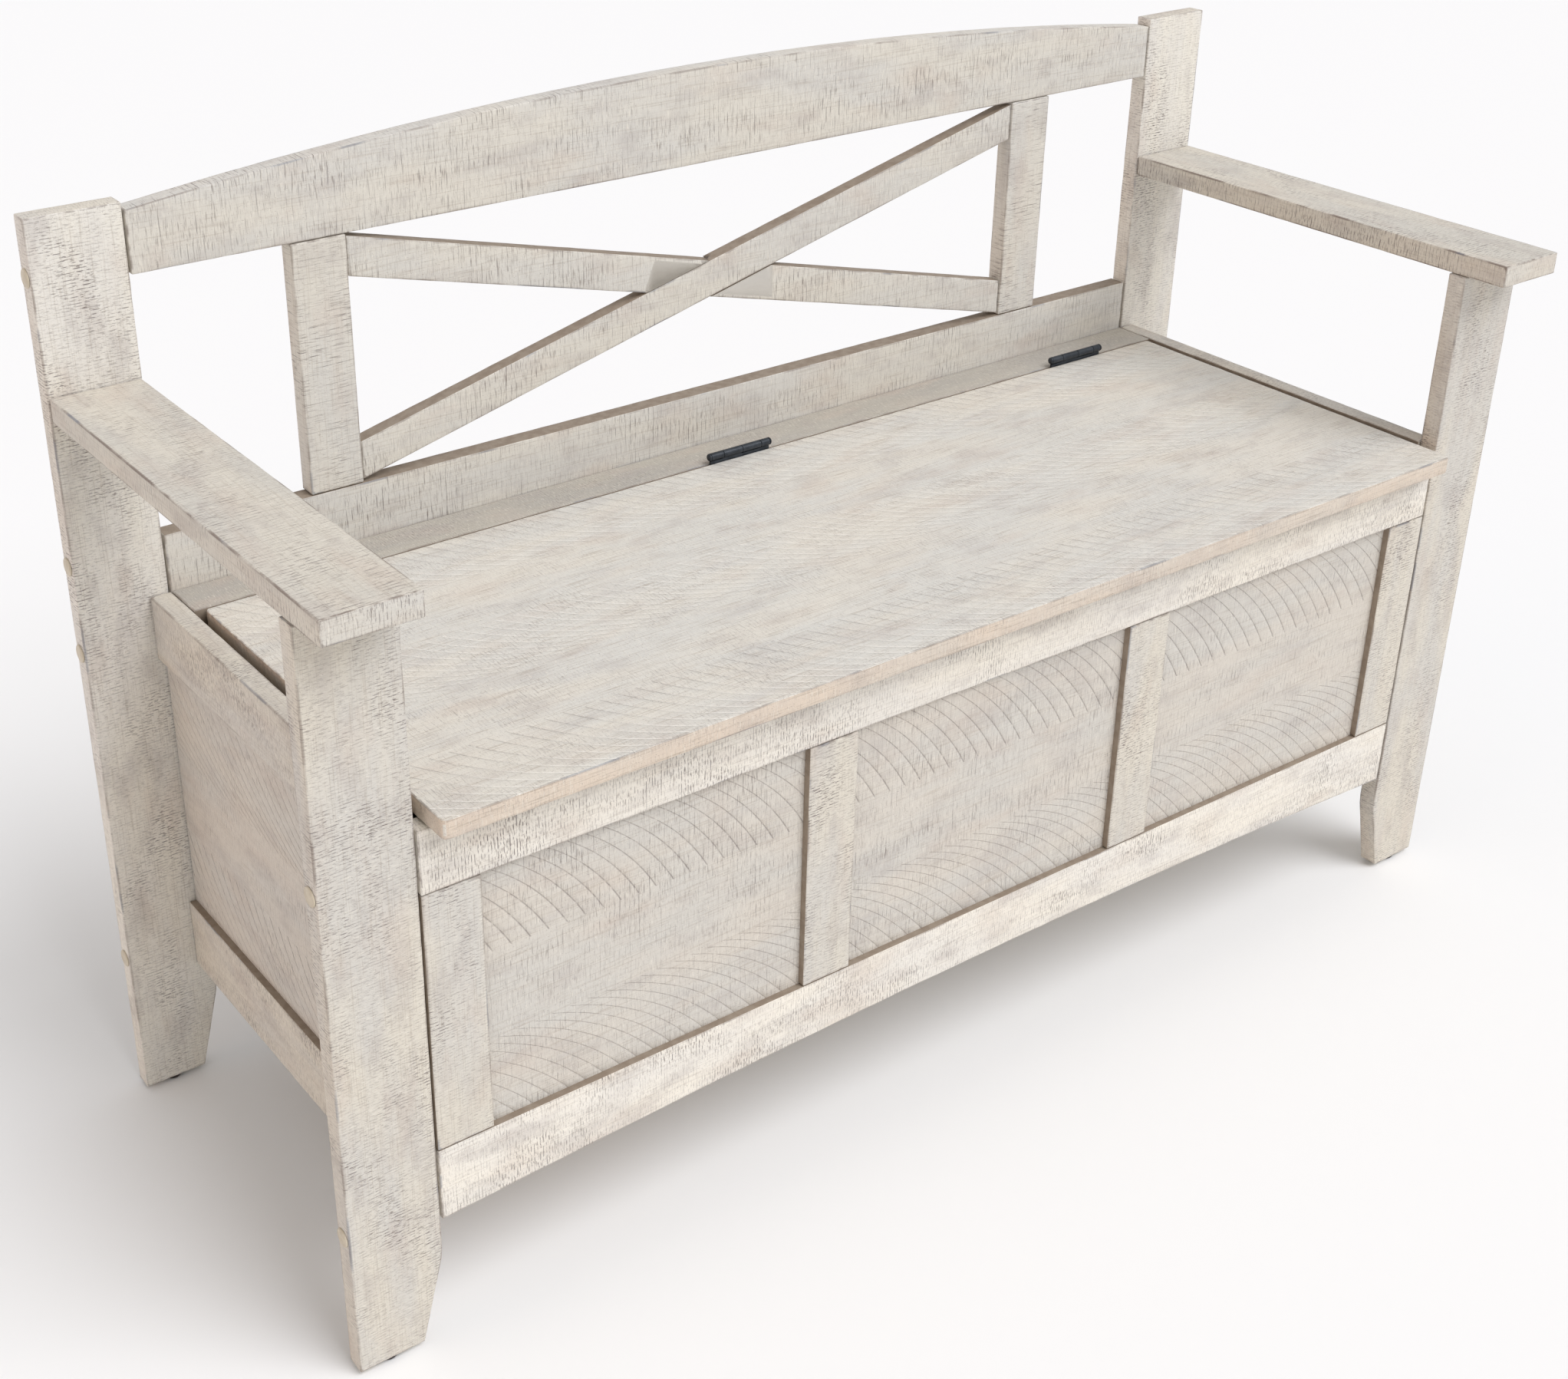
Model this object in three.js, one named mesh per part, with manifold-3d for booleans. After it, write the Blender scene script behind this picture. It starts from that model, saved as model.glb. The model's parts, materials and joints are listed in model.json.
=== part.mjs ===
// A wooden storage bench: four board posts, two flat arms, a back with an arched crest rail and
// crossed bars, and a panelled chest whose lid is the seat and turns on three butt hinges.
// Millimetres, +Z up, front towards -Y. The origin is on the floor at the centre of the footprint.
import * as THREE from "three";
import { mergeVertices } from "three/addons/utils/BufferGeometryUtils.js";
import Module from "manifold-3d";

const wasm = await Module();
wasm.setup();

// Overall sizes.
const OVERALL_WIDTH = 1220;
const FRAME_DEPTH = 417.5; // front face of the legs to the back of the rear posts
const REAR_POST_TOP = 791;
const ARM_TOP = 654;
const SEAT_TOP = 473;

// Boards.
const BOARD = 18; // thickness of posts, rails, stiles and the hinge strip
const POST_WIDTH = 75;
const FOOT_WIDTH = 55; // a post at the floor, after its inner edge has tapered
const FOOT_TAPER = 78; // height of that taper
const ARM_INSET = 1; // of an arm's edges from the edges of the posts
const ARM_THICKNESS = 20;
const ARM_OVERHANG = 38; // past the front face of the legs
const RAIL_GAP = 1.5; // shadow gap between a post's inner edge and the rails beside it
const FIT = 0.3; // clearance between pieces that touch

// Back.
const CREST_DROP = 7; // ends of the crest rail below the tops of the posts
const CREST_END_HEIGHT = 49.5;
const CREST_RISE = 33.4;
const BACK_RAIL_ABOVE_SEAT = 48;
const BACK_RAIL_HEIGHT = 105;
const BACK_STILE_WIDTH = 48;
const BACK_STILE_CENTRE = 380; // from the middle of the bench
const BAR_WIDTH = 33;
const BAR_THICKNESS = 15;
const BAR_CORNER_GAP = 2; // from the end of a bar to the rail above or below it

// Chest.
const CHEST_BOTTOM = 114;
const BOTTOM_RAIL_HEIGHT = 65;
const BOTTOM_RAIL_RISE = 13; // arch under the front rail
const FRONT_TOP_RAIL_HEIGHT = 52.5;
const SIDE_TOP_RAIL_HEIGHT = 56;
const SEAT_STEP = 1; // hinge strip and side rails below the top of the lid
const STILE_WIDTH = 48;
const MIDDLE_STILE_CENTRE = 172;
const PANEL_THICKNESS = 5;
const FLOOR_THICKNESS = 9;
const FLOOR_DROP = 29; // underside of the floor below the tops of the bottom rails
const GROOVE_DEPTH = 8;
const TONGUE_LENGTH = 7.5;
const BRACE_WIDTH = 40;
const FLOOR_END_GAP = 1; // from the floor's ends to the posts

// Lid and hinges.
const LID_THICKNESS = 16;
const LID_SIDE_GAP = 9.5; // to the inner edges of the posts
const LID_OVERHANG = 23; // past the front face of the legs
const LID_REST_GAP = 1.5; // over the front rail, filled by the two bumpers
const STRIP_DEPTH = 43.4;
const BUMPER_RADIUS = 5;
const BUMPER_INSET = 55; // from the inner edge of the post
const HINGE_SPACING = 423.5;
const HINGE_LENGTH = 66;
const HINGE_RISE = 6; // axis above the top of the lid
const KNUCKLE_RADIUS = 3.5;
const KNUCKLE_JOINTS = [0.21, 0.53, 0.85]; // as shares of the barrel, fixed leaf first
const PIN_RADIUS = 1.5;
const PIN_CLEARANCE = 0.2;
const PIN_TIP = 2.5; // length of the domed tips
const PIN_TIP_PROFILE = [[1, 0], [1, 0.35], [0.75, 0.8], [0, 1]]; // shares of radius and length
const LEAF_THICKNESS = 0.9;
const LEAF_SPLIT = 0.6; // between the two leaves when the lid is shut
const LEAF_REVEAL = 1.5; // wood left below a leaf
const LEAF_SCREW_RADIUS = 1.6;
const LEAF_SCREW_LENGTH = 14;
const LEAF_SCREW_PITCH = 24;

// Bolts with domed covers, and glides.
const BOLT_RADIUS = 3;
const BOLT_HEAD_RADIUS = 5;
const BOLT_HEAD_DEPTH = 9; // the cover's stem and the bolt's head, inside the counterbore
const BOLT_IN_RAIL = 34; // length of a bolt inside the rail
const COVER_RADIUS = 7.5;
const COVER_DOME = 1.6;
const COVER_EDGE = 0.97; // share of a quarter circle that the dome turns through
const LEG_BOLT_BELOW_FLOOR = 18; // below the underside of the chest floor
const REAR_BOLT_BELOW_FLOOR = 11;
const BACK_RAIL_BOLT_LOW = 19; // above the lower back rail's bottom edge
const BACK_RAIL_BOLT_HIGH = 9.5; // below its top edge
const CREST_BOLT = 10; // above the crest rail's bottom edge
const GLIDE_HEIGHT = 4;
const GLIDE_RADIUS = 7.5;
const GLIDE_NAIL_RADIUS = 1.2;
const GLIDE_NAIL_LENGTH = 18;
const GLIDE_NAIL_POINT = 3;
const GLIDE_PROFILE = [[0.72, 0], [0.93, 0.3], [1, 0.7]]; // shares of the radius and the height
const PAST = 1; // how far a cut runs past the face it opens

// Facets round a circle, and steps along an arc.
const SMALL_FACETS = 8;
const BOLT_FACETS = 12;
const PIN_FACETS = 16;
const ROUND_FACETS = 20;
const CREST_STEPS = 40;
const BOTTOM_STEPS = 32;

// Places worked out from the sizes.
const halfWidth = OVERALL_WIDTH / 2;
const postInner = halfWidth - POST_WIDTH;
const railEnd = postInner - RAIL_GAP;
const backFace = (FRAME_DEPTH + ARM_OVERHANG) / 2;
const backFront = backFace - BOARD;
const armFront = -backFace;
const legFront = armFront + ARM_OVERHANG;
const legBack = legFront + BOARD;
const legTop = ARM_TOP - ARM_THICKNESS;
const crestEnd = REAR_POST_TOP - CREST_DROP;
const crestBottom = crestEnd - CREST_END_HEIGHT;
const backRailTop = SEAT_TOP + BACK_RAIL_ABOVE_SEAT;
const backRailBottom = backRailTop - BACK_RAIL_HEIGHT;
const bottomRailTop = CHEST_BOTTOM + BOTTOM_RAIL_HEIGHT;
const floorUnderside = bottomRailTop - FLOOR_DROP;
const floorTop = floorUnderside + FLOOR_THICKNESS;
const lidBottom = SEAT_TOP - LID_THICKNESS;
const frontRailTop = lidBottom - LID_REST_GAP;
const frontRailBottom = frontRailTop - FRONT_TOP_RAIL_HEIGHT;
const stripTop = SEAT_TOP - SEAT_STEP;
const sideRailBottom = stripTop - SIDE_TOP_RAIL_HEIGHT;
const stripFront = backFront - STRIP_DEPTH;
const leafStack = 2 * LEAF_THICKNESS + LEAF_SPLIT + 2 * FIT;
const lidBack = stripFront - leafStack;
const lidFront = legFront - LID_OVERHANG;
const hingeAxisY = stripFront - leafStack / 2;
const hingeAxisZ = SEAT_TOP + HINGE_RISE;
const hingeScrewZ = (lidBottom + SEAT_TOP) / 2;
const hingeCentres = [-HINGE_SPACING, 0, HINGE_SPACING];
const frontMiddle = (legFront + legBack) / 2;
const backMiddle = (backFront + backFace) / 2;
const sideOuter = railEnd + BOARD;
const sideMiddle = (railEnd + sideOuter) / 2;
const chestDepth = [legBack + FIT, backFront - FIT];
const grooveHalf = PANEL_THICKNESS / 2 + FIT;

// Heights of the bolts: into the front rails through a leg, and into the back through a post.
const legBolts = [floorUnderside - LEG_BOLT_BELOW_FLOOR, (frontRailTop + frontRailBottom) / 2];
const rearBolts = [
  floorUnderside - REAR_BOLT_BELOW_FLOOR,
  backRailBottom + BACK_RAIL_BOLT_LOW,
  backRailTop - BACK_RAIL_BOLT_HIGH,
  crestBottom + CREST_BOLT,
];

// Finishes.
const paintedWood = new THREE.MeshStandardMaterial({ color: 0xded7c9, roughness: 0.7 });
const seatWood = new THREE.MeshStandardMaterial({ color: 0xd9d5cc, roughness: 0.65 });
const blackSteel = new THREE.MeshStandardMaterial({ color: 0x33393d, roughness: 0.5, metalness: 0.6 });
const darkPlastic = new THREE.MeshStandardMaterial({ color: 0x2c221d, roughness: 0.5 });
const clearRubber = new THREE.MeshStandardMaterial({ color: 0xd6d4cc, roughness: 0.4 });

const bench = new THREE.Group();

// Adds a piece to the bench. A piece is a geometry or a solid.
function add(name, piece, material) {
  const geometry = piece.isBufferGeometry ? piece : geometryOf(piece);
  const mesh = new THREE.Mesh(geometry, material);
  mesh.name = name;
  bench.add(mesh);
}

// A closed geometry as a solid that can be cut and joined.
function solidOf(geometry) {
  const bare = geometry.clone();
  bare.deleteAttribute("normal");
  bare.deleteAttribute("uv");
  const merged = mergeVertices(bare, 1e-4);
  const vertProperties = merged.attributes.position.array;
  const triVerts = new Uint32Array(merged.index.array);
  return new wasm.Manifold(new wasm.Mesh({ numProp: 3, vertProperties, triVerts }));
}

// A solid back as a geometry.
function geometryOf(solid) {
  const mesh = solid.getMesh();
  const geometry = new THREE.BufferGeometry();
  geometry.setAttribute("position", new THREE.BufferAttribute(mesh.vertProperties, 3));
  geometry.setIndex(new THREE.BufferAttribute(mesh.triVerts, 1));
  geometry.computeVertexNormals();
  return geometry;
}

// A block between two values on each axis.
function block([x0, x1], [y0, y1], [z0, z1]) {
  const box = new THREE.BoxGeometry(x1 - x0, y1 - y0, z1 - z0);
  return box.translate((x0 + x1) / 2, (y0 + y1) / 2, (z0 + z1) / 2);
}

const blockSolid = (x, y, z) => solidOf(block(x, y, z));

// A board whose face, drawn in X and Z, runs from y0 back to y1.
function faceBoard(shape, [y0, y1], curveSegments = 1) {
  const options = { depth: y1 - y0, bevelEnabled: false, curveSegments };
  return new THREE.ExtrudeGeometry(shape, options).rotateX(Math.PI / 2).translate(0, y1, 0);
}

function polygon(points) {
  return new THREE.Shape(points.map(([x, z]) => new THREE.Vector2(x, z)));
}

// A turned piece: points are [radius, place along the axis], and the axis then points along +X.
function turnedX(points, facets) {
  const profile = points.map(([r, x]) => new THREE.Vector2(r, x));
  return new THREE.LatheGeometry(profile, facets).rotateZ(-Math.PI / 2);
}

// A plain rod along X, Y or Z between two values on that axis.
function rod(axis, radius, [from, to], centre, facets = BOLT_FACETS) {
  const bar = new THREE.CylinderGeometry(radius, radius, to - from, facets);
  if (axis === "x") bar.rotateZ(Math.PI / 2);
  if (axis === "z") bar.rotateX(Math.PI / 2);
  const place = { x: 0, y: 0, z: 0, ...centre, [axis]: (from + to) / 2 };
  return solidOf(bar.translate(place.x, place.y, place.z));
}

// Centre height and start angle of the arc over a level chord.
function archOf(halfChord, baseZ, rise) {
  const radius = (halfChord * halfChord + rise * rise) / (2 * rise);
  const centreZ = baseZ + rise - radius;
  return { radius, centreZ, start: Math.atan2(baseZ - centreZ, halfChord) };
}

const mirrored = (side, [a, b]) => (side > 0 ? [a, b] : [-b, -a]);
const sides = [["left", -1], ["right", 1]];

// Holes for one bolt: counterbore and shank through the post, and the rest inside the rail.
function boltHole(side, y, z) {
  const head = mirrored(side, [halfWidth - BOLT_HEAD_DEPTH - FIT, halfWidth + FIT]);
  const shank = mirrored(side, [railEnd - BOLT_IN_RAIL - FIT, halfWidth]);
  const counterbore = rod("x", BOLT_HEAD_RADIUS + FIT, head, { y, z });
  return counterbore.add(rod("x", BOLT_RADIUS + FIT, shank, { y, z }));
}

// Cuts the bolt holes of both ends out of a rail.
function drilled(solid, y, heights) {
  for (const [, side] of sides)
    for (const z of heights) solid = solid.subtract(boltHole(side, y, z));
  return solid;
}

// A post: a board whose inner edge tapers in towards the floor, drilled for bolts and a glide.
function post(side, top, depth, boltHeights) {
  const middle = (depth[0] + depth[1]) / 2;
  const outline = [
    [halfWidth, GLIDE_HEIGHT],
    [halfWidth, top],
    [postInner, top],
    [postInner, GLIDE_HEIGHT + FOOT_TAPER],
    [halfWidth - FOOT_WIDTH, GLIDE_HEIGHT],
  ].map(([x, z]) => [side * x, z]);
  let solid = solidOf(faceBoard(polygon(side > 0 ? outline : outline.reverse()), depth));
  for (const z of boltHeights) solid = solid.subtract(boltHole(side, middle, z));
  const nail = [GLIDE_HEIGHT - PAST, GLIDE_HEIGHT + GLIDE_NAIL_LENGTH + FIT];
  const centre = { x: side * (halfWidth - FOOT_WIDTH / 2), y: middle };
  return solid.subtract(rod("z", GLIDE_NAIL_RADIUS + FIT, nail, centre, SMALL_FACETS));
}

function arm(side) {
  const width = mirrored(side, [postInner + ARM_INSET, halfWidth - ARM_INSET]);
  return block(width, [armFront, backFront - FIT], [legTop + FIT, ARM_TOP]);
}

// The crest rail: level underneath and arched on top.
function crestRail() {
  const { radius, centreZ, start } = archOf(railEnd, crestEnd, CREST_RISE);
  const shape = new THREE.Shape();
  shape.moveTo(-railEnd, crestBottom);
  shape.lineTo(railEnd, crestBottom);
  shape.lineTo(railEnd, crestEnd);
  shape.absarc(0, centreZ, radius, start, Math.PI - start, false);
  const rail = solidOf(faceBoard(shape, [backFront, backFace], CREST_STEPS));
  return drilled(rail, backMiddle, rearBolts.slice(3));
}

// The rail above and behind the seat, grooved underneath for the back panel.
function lowerBackRail() {
  const rail = blockSolid([-railEnd, railEnd], [backFront, backFace], [backRailBottom, backRailTop]);
  const grooved = rail.subtract(grooveInTopOrBottom(backMiddle, backRailBottom));
  return drilled(grooved, backMiddle, rearBolts.slice(1, 3));
}

// A panel groove along the whole of a rail's edge at height z.
function grooveInTopOrBottom(y, z) {
  const across = [y - grooveHalf, y + grooveHalf];
  return blockSolid([-halfWidth, halfWidth], across, [z - GROOVE_DEPTH, z + GROOVE_DEPTH]);
}

function backStile(side) {
  const half = BACK_STILE_WIDTH / 2;
  const width = [side * BACK_STILE_CENTRE - half, side * BACK_STILE_CENTRE + half];
  return block(width, [backFront, backFace], [backRailTop + FIT, crestBottom - FIT]);
}

// The outline of a crossed bar, which runs from corner to corner between the back stiles.
function barOutline(rising, grow = 0) {
  const x = BACK_STILE_CENTRE - BACK_STILE_WIDTH / 2 - FIT;
  const low = backRailTop + BAR_CORNER_GAP;
  const high = crestBottom - BAR_CORNER_GAP;
  const tilt = Math.atan2(high - low - BAR_WIDTH, 2 * x);
  const slice = BAR_WIDTH / Math.cos(tilt);
  const [left, right] = rising ? [low, high - slice] : [high - slice, low];
  return polygon([
    [-x, left - grow],
    [x, right - grow],
    [x, right + slice + grow],
    [-x, left + slice + grow],
  ]);
}

// A crossed bar with its half of the lap joint: the rising bar keeps its front half.
function crossedBar(rising) {
  const front = backMiddle - BAR_THICKNESS / 2;
  const back = backMiddle + BAR_THICKNESS / 2;
  const bar = solidOf(faceBoard(barOutline(rising), [front, back]));
  const cut = rising ? [backMiddle - FIT / 2, back + PAST] : [front - PAST, backMiddle + FIT / 2];
  return bar.subtract(solidOf(faceBoard(barOutline(!rising, FIT), cut)));
}

// The fixed strip behind the lid that carries the hinges.
function hingeStrip() {
  const strip = blockSolid(
    [-railEnd + FIT, railEnd - FIT],
    [stripFront, backFront - FIT],
    [stripTop - BOARD, stripTop],
  );
  return strip.subtract(leafScrews(1, FIT));
}

function lid() {
  const half = postInner - LID_SIDE_GAP;
  const board = blockSolid([-half, half], [lidFront, lidBack], [lidBottom, SEAT_TOP]);
  return board.subtract(leafScrews(-1, FIT));
}

// Screws of every leaf on one side of the hinge line: 1 is the strip's side and -1 the lid's.
function leafScrews(side, grow) {
  return hingeCentres.map((x) => screwRow(x, side, grow)).reduce((all, row) => all.add(row));
}

function screwRow(centre, side, grow) {
  const near = hingeAxisY + side * (LEAF_SPLIT / 2 + LEAF_THICKNESS / 2);
  const far = hingeAxisY + side * (leafStack / 2 + LEAF_SCREW_LENGTH + grow);
  const span = side > 0 ? [near, far] : [far, near];
  const rods = [-1, 0, 1].map((step) =>
    leafScrew(centre + step * LEAF_SCREW_PITCH, span, grow),
  );
  return rods.reduce((all, next) => all.add(next));
}

function leafScrew(x, span, grow) {
  return rod("y", LEAF_SCREW_RADIUS + grow, span, { x, z: hingeScrewZ }, SMALL_FACETS);
}

function frontTopRail() {
  const rail = blockSolid([-railEnd, railEnd], [legFront, legBack], [frontRailBottom, frontRailTop]);
  const grooved = rail.subtract(grooveInTopOrBottom(frontMiddle, frontRailBottom));
  return drilled(grooved, frontMiddle, legBolts.slice(1));
}

// The front rail under the panels: arched below, grooved for the panels and for the chest floor.
function frontBottomRail() {
  const { radius, centreZ, start } = archOf(railEnd, CHEST_BOTTOM, BOTTOM_RAIL_RISE);
  const shape = new THREE.Shape();
  shape.absarc(0, centreZ, radius, Math.PI - start, start, true);
  shape.lineTo(railEnd, bottomRailTop);
  shape.lineTo(-railEnd, bottomRailTop);
  const rail = solidOf(faceBoard(shape, [legFront, legBack], BOTTOM_STEPS));
  const grooved = rail.subtract(grooveInTopOrBottom(frontMiddle, bottomRailTop)).subtract(floorSlot());
  return drilled(grooved, frontMiddle, legBolts.slice(0, 1));
}

// The groove that the chest floor needs in the four bottom rails.
function floorSlot() {
  return floorBoard(GROOVE_DEPTH, [floorUnderside - FIT, floorTop + FIT]);
}

// The chest floor: it reaches into all four bottom rails and stops at the posts.
function floorBoard(reach, thickness) {
  const between = blockSolid([-railEnd - reach, railEnd + reach], chestDepth, thickness);
  const alongDepth = [legBack - reach, backFront + reach];
  const half = railEnd - FLOOR_END_GAP;
  return between.add(blockSolid([-half, half], alongDepth, thickness));
}

function rearBottomRail() {
  const height = [CHEST_BOTTOM, bottomRailTop];
  const rail = blockSolid([-railEnd, railEnd], [backFront, backFace], height);
  const grooved = rail.subtract(grooveInTopOrBottom(backMiddle, bottomRailTop)).subtract(floorSlot());
  return drilled(grooved, backMiddle, rearBolts.slice(0, 1));
}

// A front stile: a tongue at each end, and a groove in each edge that meets a panel.
function frontStile(x, edges) {
  const half = STILE_WIDTH / 2;
  const [low, high] = [bottomRailTop, frontRailBottom];
  let stile = blockSolid([x - half, x + half], [legFront, legBack], [low + FIT, high - FIT]);
  const tongue = [frontMiddle - PANEL_THICKNESS / 2, frontMiddle + PANEL_THICKNESS / 2];
  const reach = [low - TONGUE_LENGTH, high + TONGUE_LENGTH];
  stile = stile.add(blockSolid([x - half, x + half], tongue, reach));
  const across = [frontMiddle - grooveHalf, frontMiddle + grooveHalf];
  for (const edge of edges) {
    const at = x + edge * half;
    const length = [reach[0] - PAST, reach[1] + PAST];
    stile = stile.subtract(blockSolid([at - GROOVE_DEPTH, at + GROOVE_DEPTH], across, length));
  }
  return stile;
}

// A front panel between two stiles, given the edges that face it.
function frontPanel(from, to) {
  return block(
    [from - TONGUE_LENGTH, to + TONGUE_LENGTH],
    [frontMiddle - PANEL_THICKNESS / 2, frontMiddle + PANEL_THICKNESS / 2],
    [bottomRailTop - TONGUE_LENGTH, frontRailBottom + TONGUE_LENGTH],
  );
}

// A side rail, grooved along its upper or lower edge for the side panel.
function sideRail(side, height, grooveZ) {
  const rail = blockSolid(mirrored(side, [railEnd, sideOuter]), chestDepth, height);
  const across = [side * sideMiddle - grooveHalf, side * sideMiddle + grooveHalf];
  const along = [chestDepth[0] - PAST, chestDepth[1] + PAST];
  return rail.subtract(blockSolid(across, along, [grooveZ - GROOVE_DEPTH, grooveZ + GROOVE_DEPTH]));
}

function sidePanel(side) {
  const half = PANEL_THICKNESS / 2;
  const height = [bottomRailTop - TONGUE_LENGTH, sideRailBottom + TONGUE_LENGTH];
  return block([side * sideMiddle - half, side * sideMiddle + half], chestDepth, height);
}

function backPanel() {
  const half = PANEL_THICKNESS / 2;
  const height = [bottomRailTop - TONGUE_LENGTH, backRailBottom + TONGUE_LENGTH];
  return block([-railEnd, railEnd], [backMiddle - half, backMiddle + half], height);
}

// A bolt and the domed cover pressed into its head. side is the end of the bench it enters from.
function coveredBolt(side, y, z) {
  const dome = [0.45, 0.75, 0.93, 1].map((share) => [
    share * COVER_RADIUS,
    COVER_DOME * Math.sqrt(1 - (COVER_EDGE * share) ** 2),
  ]);
  const tip = railEnd - BOLT_IN_RAIL - halfWidth;
  const profile = [
    [0, tip],
    [BOLT_RADIUS, tip],
    [BOLT_RADIUS, -BOLT_HEAD_DEPTH],
    [BOLT_HEAD_RADIUS, -BOLT_HEAD_DEPTH],
    [BOLT_HEAD_RADIUS, FIT / 3],
    [COVER_RADIUS, FIT / 3],
    ...dome.reverse(),
    [0, COVER_DOME],
  ];
  const turn = side > 0 ? 0 : Math.PI;
  return turnedX(profile, PIN_FACETS).rotateZ(turn).translate(side * halfWidth, y, z);
}

// A glide: a rounded foot with a nail that goes up into the post.
function glide(side, y) {
  const top = GLIDE_HEIGHT - FIT / 3;
  const nailTip = GLIDE_HEIGHT + GLIDE_NAIL_LENGTH;
  const profile = [
    [0, 0],
    ...GLIDE_PROFILE.map(([r, z]) => [r * GLIDE_RADIUS, z * GLIDE_HEIGHT]),
    [GLIDE_RADIUS, top],
    [GLIDE_NAIL_RADIUS, top],
    [GLIDE_NAIL_RADIUS, nailTip - GLIDE_NAIL_POINT],
    [0, nailTip],
  ].map(([r, z]) => new THREE.Vector2(r, z));
  const turned = new THREE.LatheGeometry(profile, ROUND_FACETS).rotateX(Math.PI / 2);
  return turned.translate(side * (halfWidth - FOOT_WIDTH / 2), y, 0);
}

function bumper(side) {
  const half = (LID_REST_GAP - FIT) / 2;
  const topRadius = BUMPER_RADIUS - FIT;
  const disc = new THREE.CylinderGeometry(topRadius, BUMPER_RADIUS, 2 * half, ROUND_FACETS);
  const z = frontRailTop + FIT / 3 + half;
  return disc.rotateX(Math.PI / 2).translate(side * (postInner - BUMPER_INSET), frontMiddle, z);
}

// Ends of the knuckles along a hinge centred at x.
function knuckles(x) {
  const ends = [0, ...KNUCKLE_JOINTS, 1].map((share) => x + (share - 0.5) * HINGE_LENGTH);
  return ends.slice(1).map((end, i) => [ends[i], end]);
}

// One leaf with its knuckles and screws. side 1 is fixed to the strip and -1 to the lid.
function hingeLeaf(x, side) {
  const centre = { y: hingeAxisY, z: hingeAxisZ };
  const half = HINGE_LENGTH / 2;
  const inner = hingeAxisY + side * (LEAF_SPLIT / 2);
  const outer = inner + side * LEAF_THICKNESS;
  const across = side > 0 ? [inner, outer] : [outer, inner];
  let leaf = blockSolid([x - half, x + half], across, [lidBottom + LEAF_REVEAL, hingeAxisZ]);
  const own = side > 0 ? 0 : 1;
  knuckles(x).forEach(([from, to], i) => {
    if (i % 2 === own) {
      const barrel = [from + FIT / 2, to - FIT / 2];
      leaf = leaf.add(rod("x", KNUCKLE_RADIUS, barrel, centre, ROUND_FACETS));
    } else {
      const room = [from - FIT / 2, to + FIT / 2];
      leaf = leaf.subtract(rod("x", KNUCKLE_RADIUS + FIT, room, centre, ROUND_FACETS));
    }
  });
  const bore = [x - half - PAST, x + half + PAST];
  leaf = leaf.subtract(rod("x", PIN_RADIUS + PIN_CLEARANCE, bore, centre, PIN_FACETS));
  return leaf.add(screwRow(x, side, 0));
}

// The pin with its two domed tips.
function hingePin(x) {
  const half = HINGE_LENGTH / 2;
  const tip = (at, out) => PIN_TIP_PROFILE.map(([r, x]) => [r * KNUCKLE_RADIUS, at + out * x * PIN_TIP]);
  const profile = [
    ...tip(-half - FIT, -1).reverse(),
    [PIN_RADIUS, -half - FIT],
    [PIN_RADIUS, half + FIT],
    ...tip(half + FIT, 1),
  ];
  return turnedX(profile, PIN_FACETS).translate(x, hingeAxisY, hingeAxisZ);
}

// Posts, legs, arms, glides and bolts, once for each side.
for (const [name, side] of sides) {
  add(`rear_post_${name}`, post(side, REAR_POST_TOP, [backFront, backFace], rearBolts), paintedWood);
  add(`front_leg_${name}`, post(side, legTop, [legFront, legBack], legBolts), paintedWood);
  add(`arm_${name}`, arm(side), paintedWood);
  add(`glide_rear_${name}`, glide(side, backMiddle), darkPlastic);
  add(`glide_front_${name}`, glide(side, frontMiddle), darkPlastic);
  legBolts.forEach((z, i) =>
    add(`leg_bolt_${name}_${i + 1}`, coveredBolt(side, frontMiddle, z), paintedWood),
  );
  rearBolts.forEach((z, i) =>
    add(`rear_bolt_${name}_${i + 1}`, coveredBolt(side, backMiddle, z), paintedWood),
  );
}

// Back.
add("crest_rail", crestRail(), paintedWood);
add("lower_back_rail", lowerBackRail(), paintedWood);
for (const [name, side] of sides) add(`back_stile_${name}`, backStile(side), paintedWood);
add("cross_bar_rising", crossedBar(true), paintedWood);
add("cross_bar_falling", crossedBar(false), paintedWood);

// Front of the chest.
add("front_top_rail", frontTopRail(), paintedWood);
add("front_bottom_rail", frontBottomRail(), paintedWood);
const endStile = railEnd - STILE_WIDTH / 2;
const stileHalf = STILE_WIDTH / 2;
add("front_stile_left", frontStile(-endStile, [1]), paintedWood);
add("front_stile_middle_left", frontStile(-MIDDLE_STILE_CENTRE, [-1, 1]), paintedWood);
add("front_stile_middle_right", frontStile(MIDDLE_STILE_CENTRE, [-1, 1]), paintedWood);
add("front_stile_right", frontStile(endStile, [-1]), paintedWood);
const outerPanel = [MIDDLE_STILE_CENTRE + stileHalf, endStile - stileHalf];
const centrePanel = MIDDLE_STILE_CENTRE - stileHalf;
add("front_panel_left", frontPanel(-outerPanel[1], -outerPanel[0]), paintedWood);
add("front_panel_centre", frontPanel(-centrePanel, centrePanel), paintedWood);
add("front_panel_right", frontPanel(outerPanel[0], outerPanel[1]), paintedWood);

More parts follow.
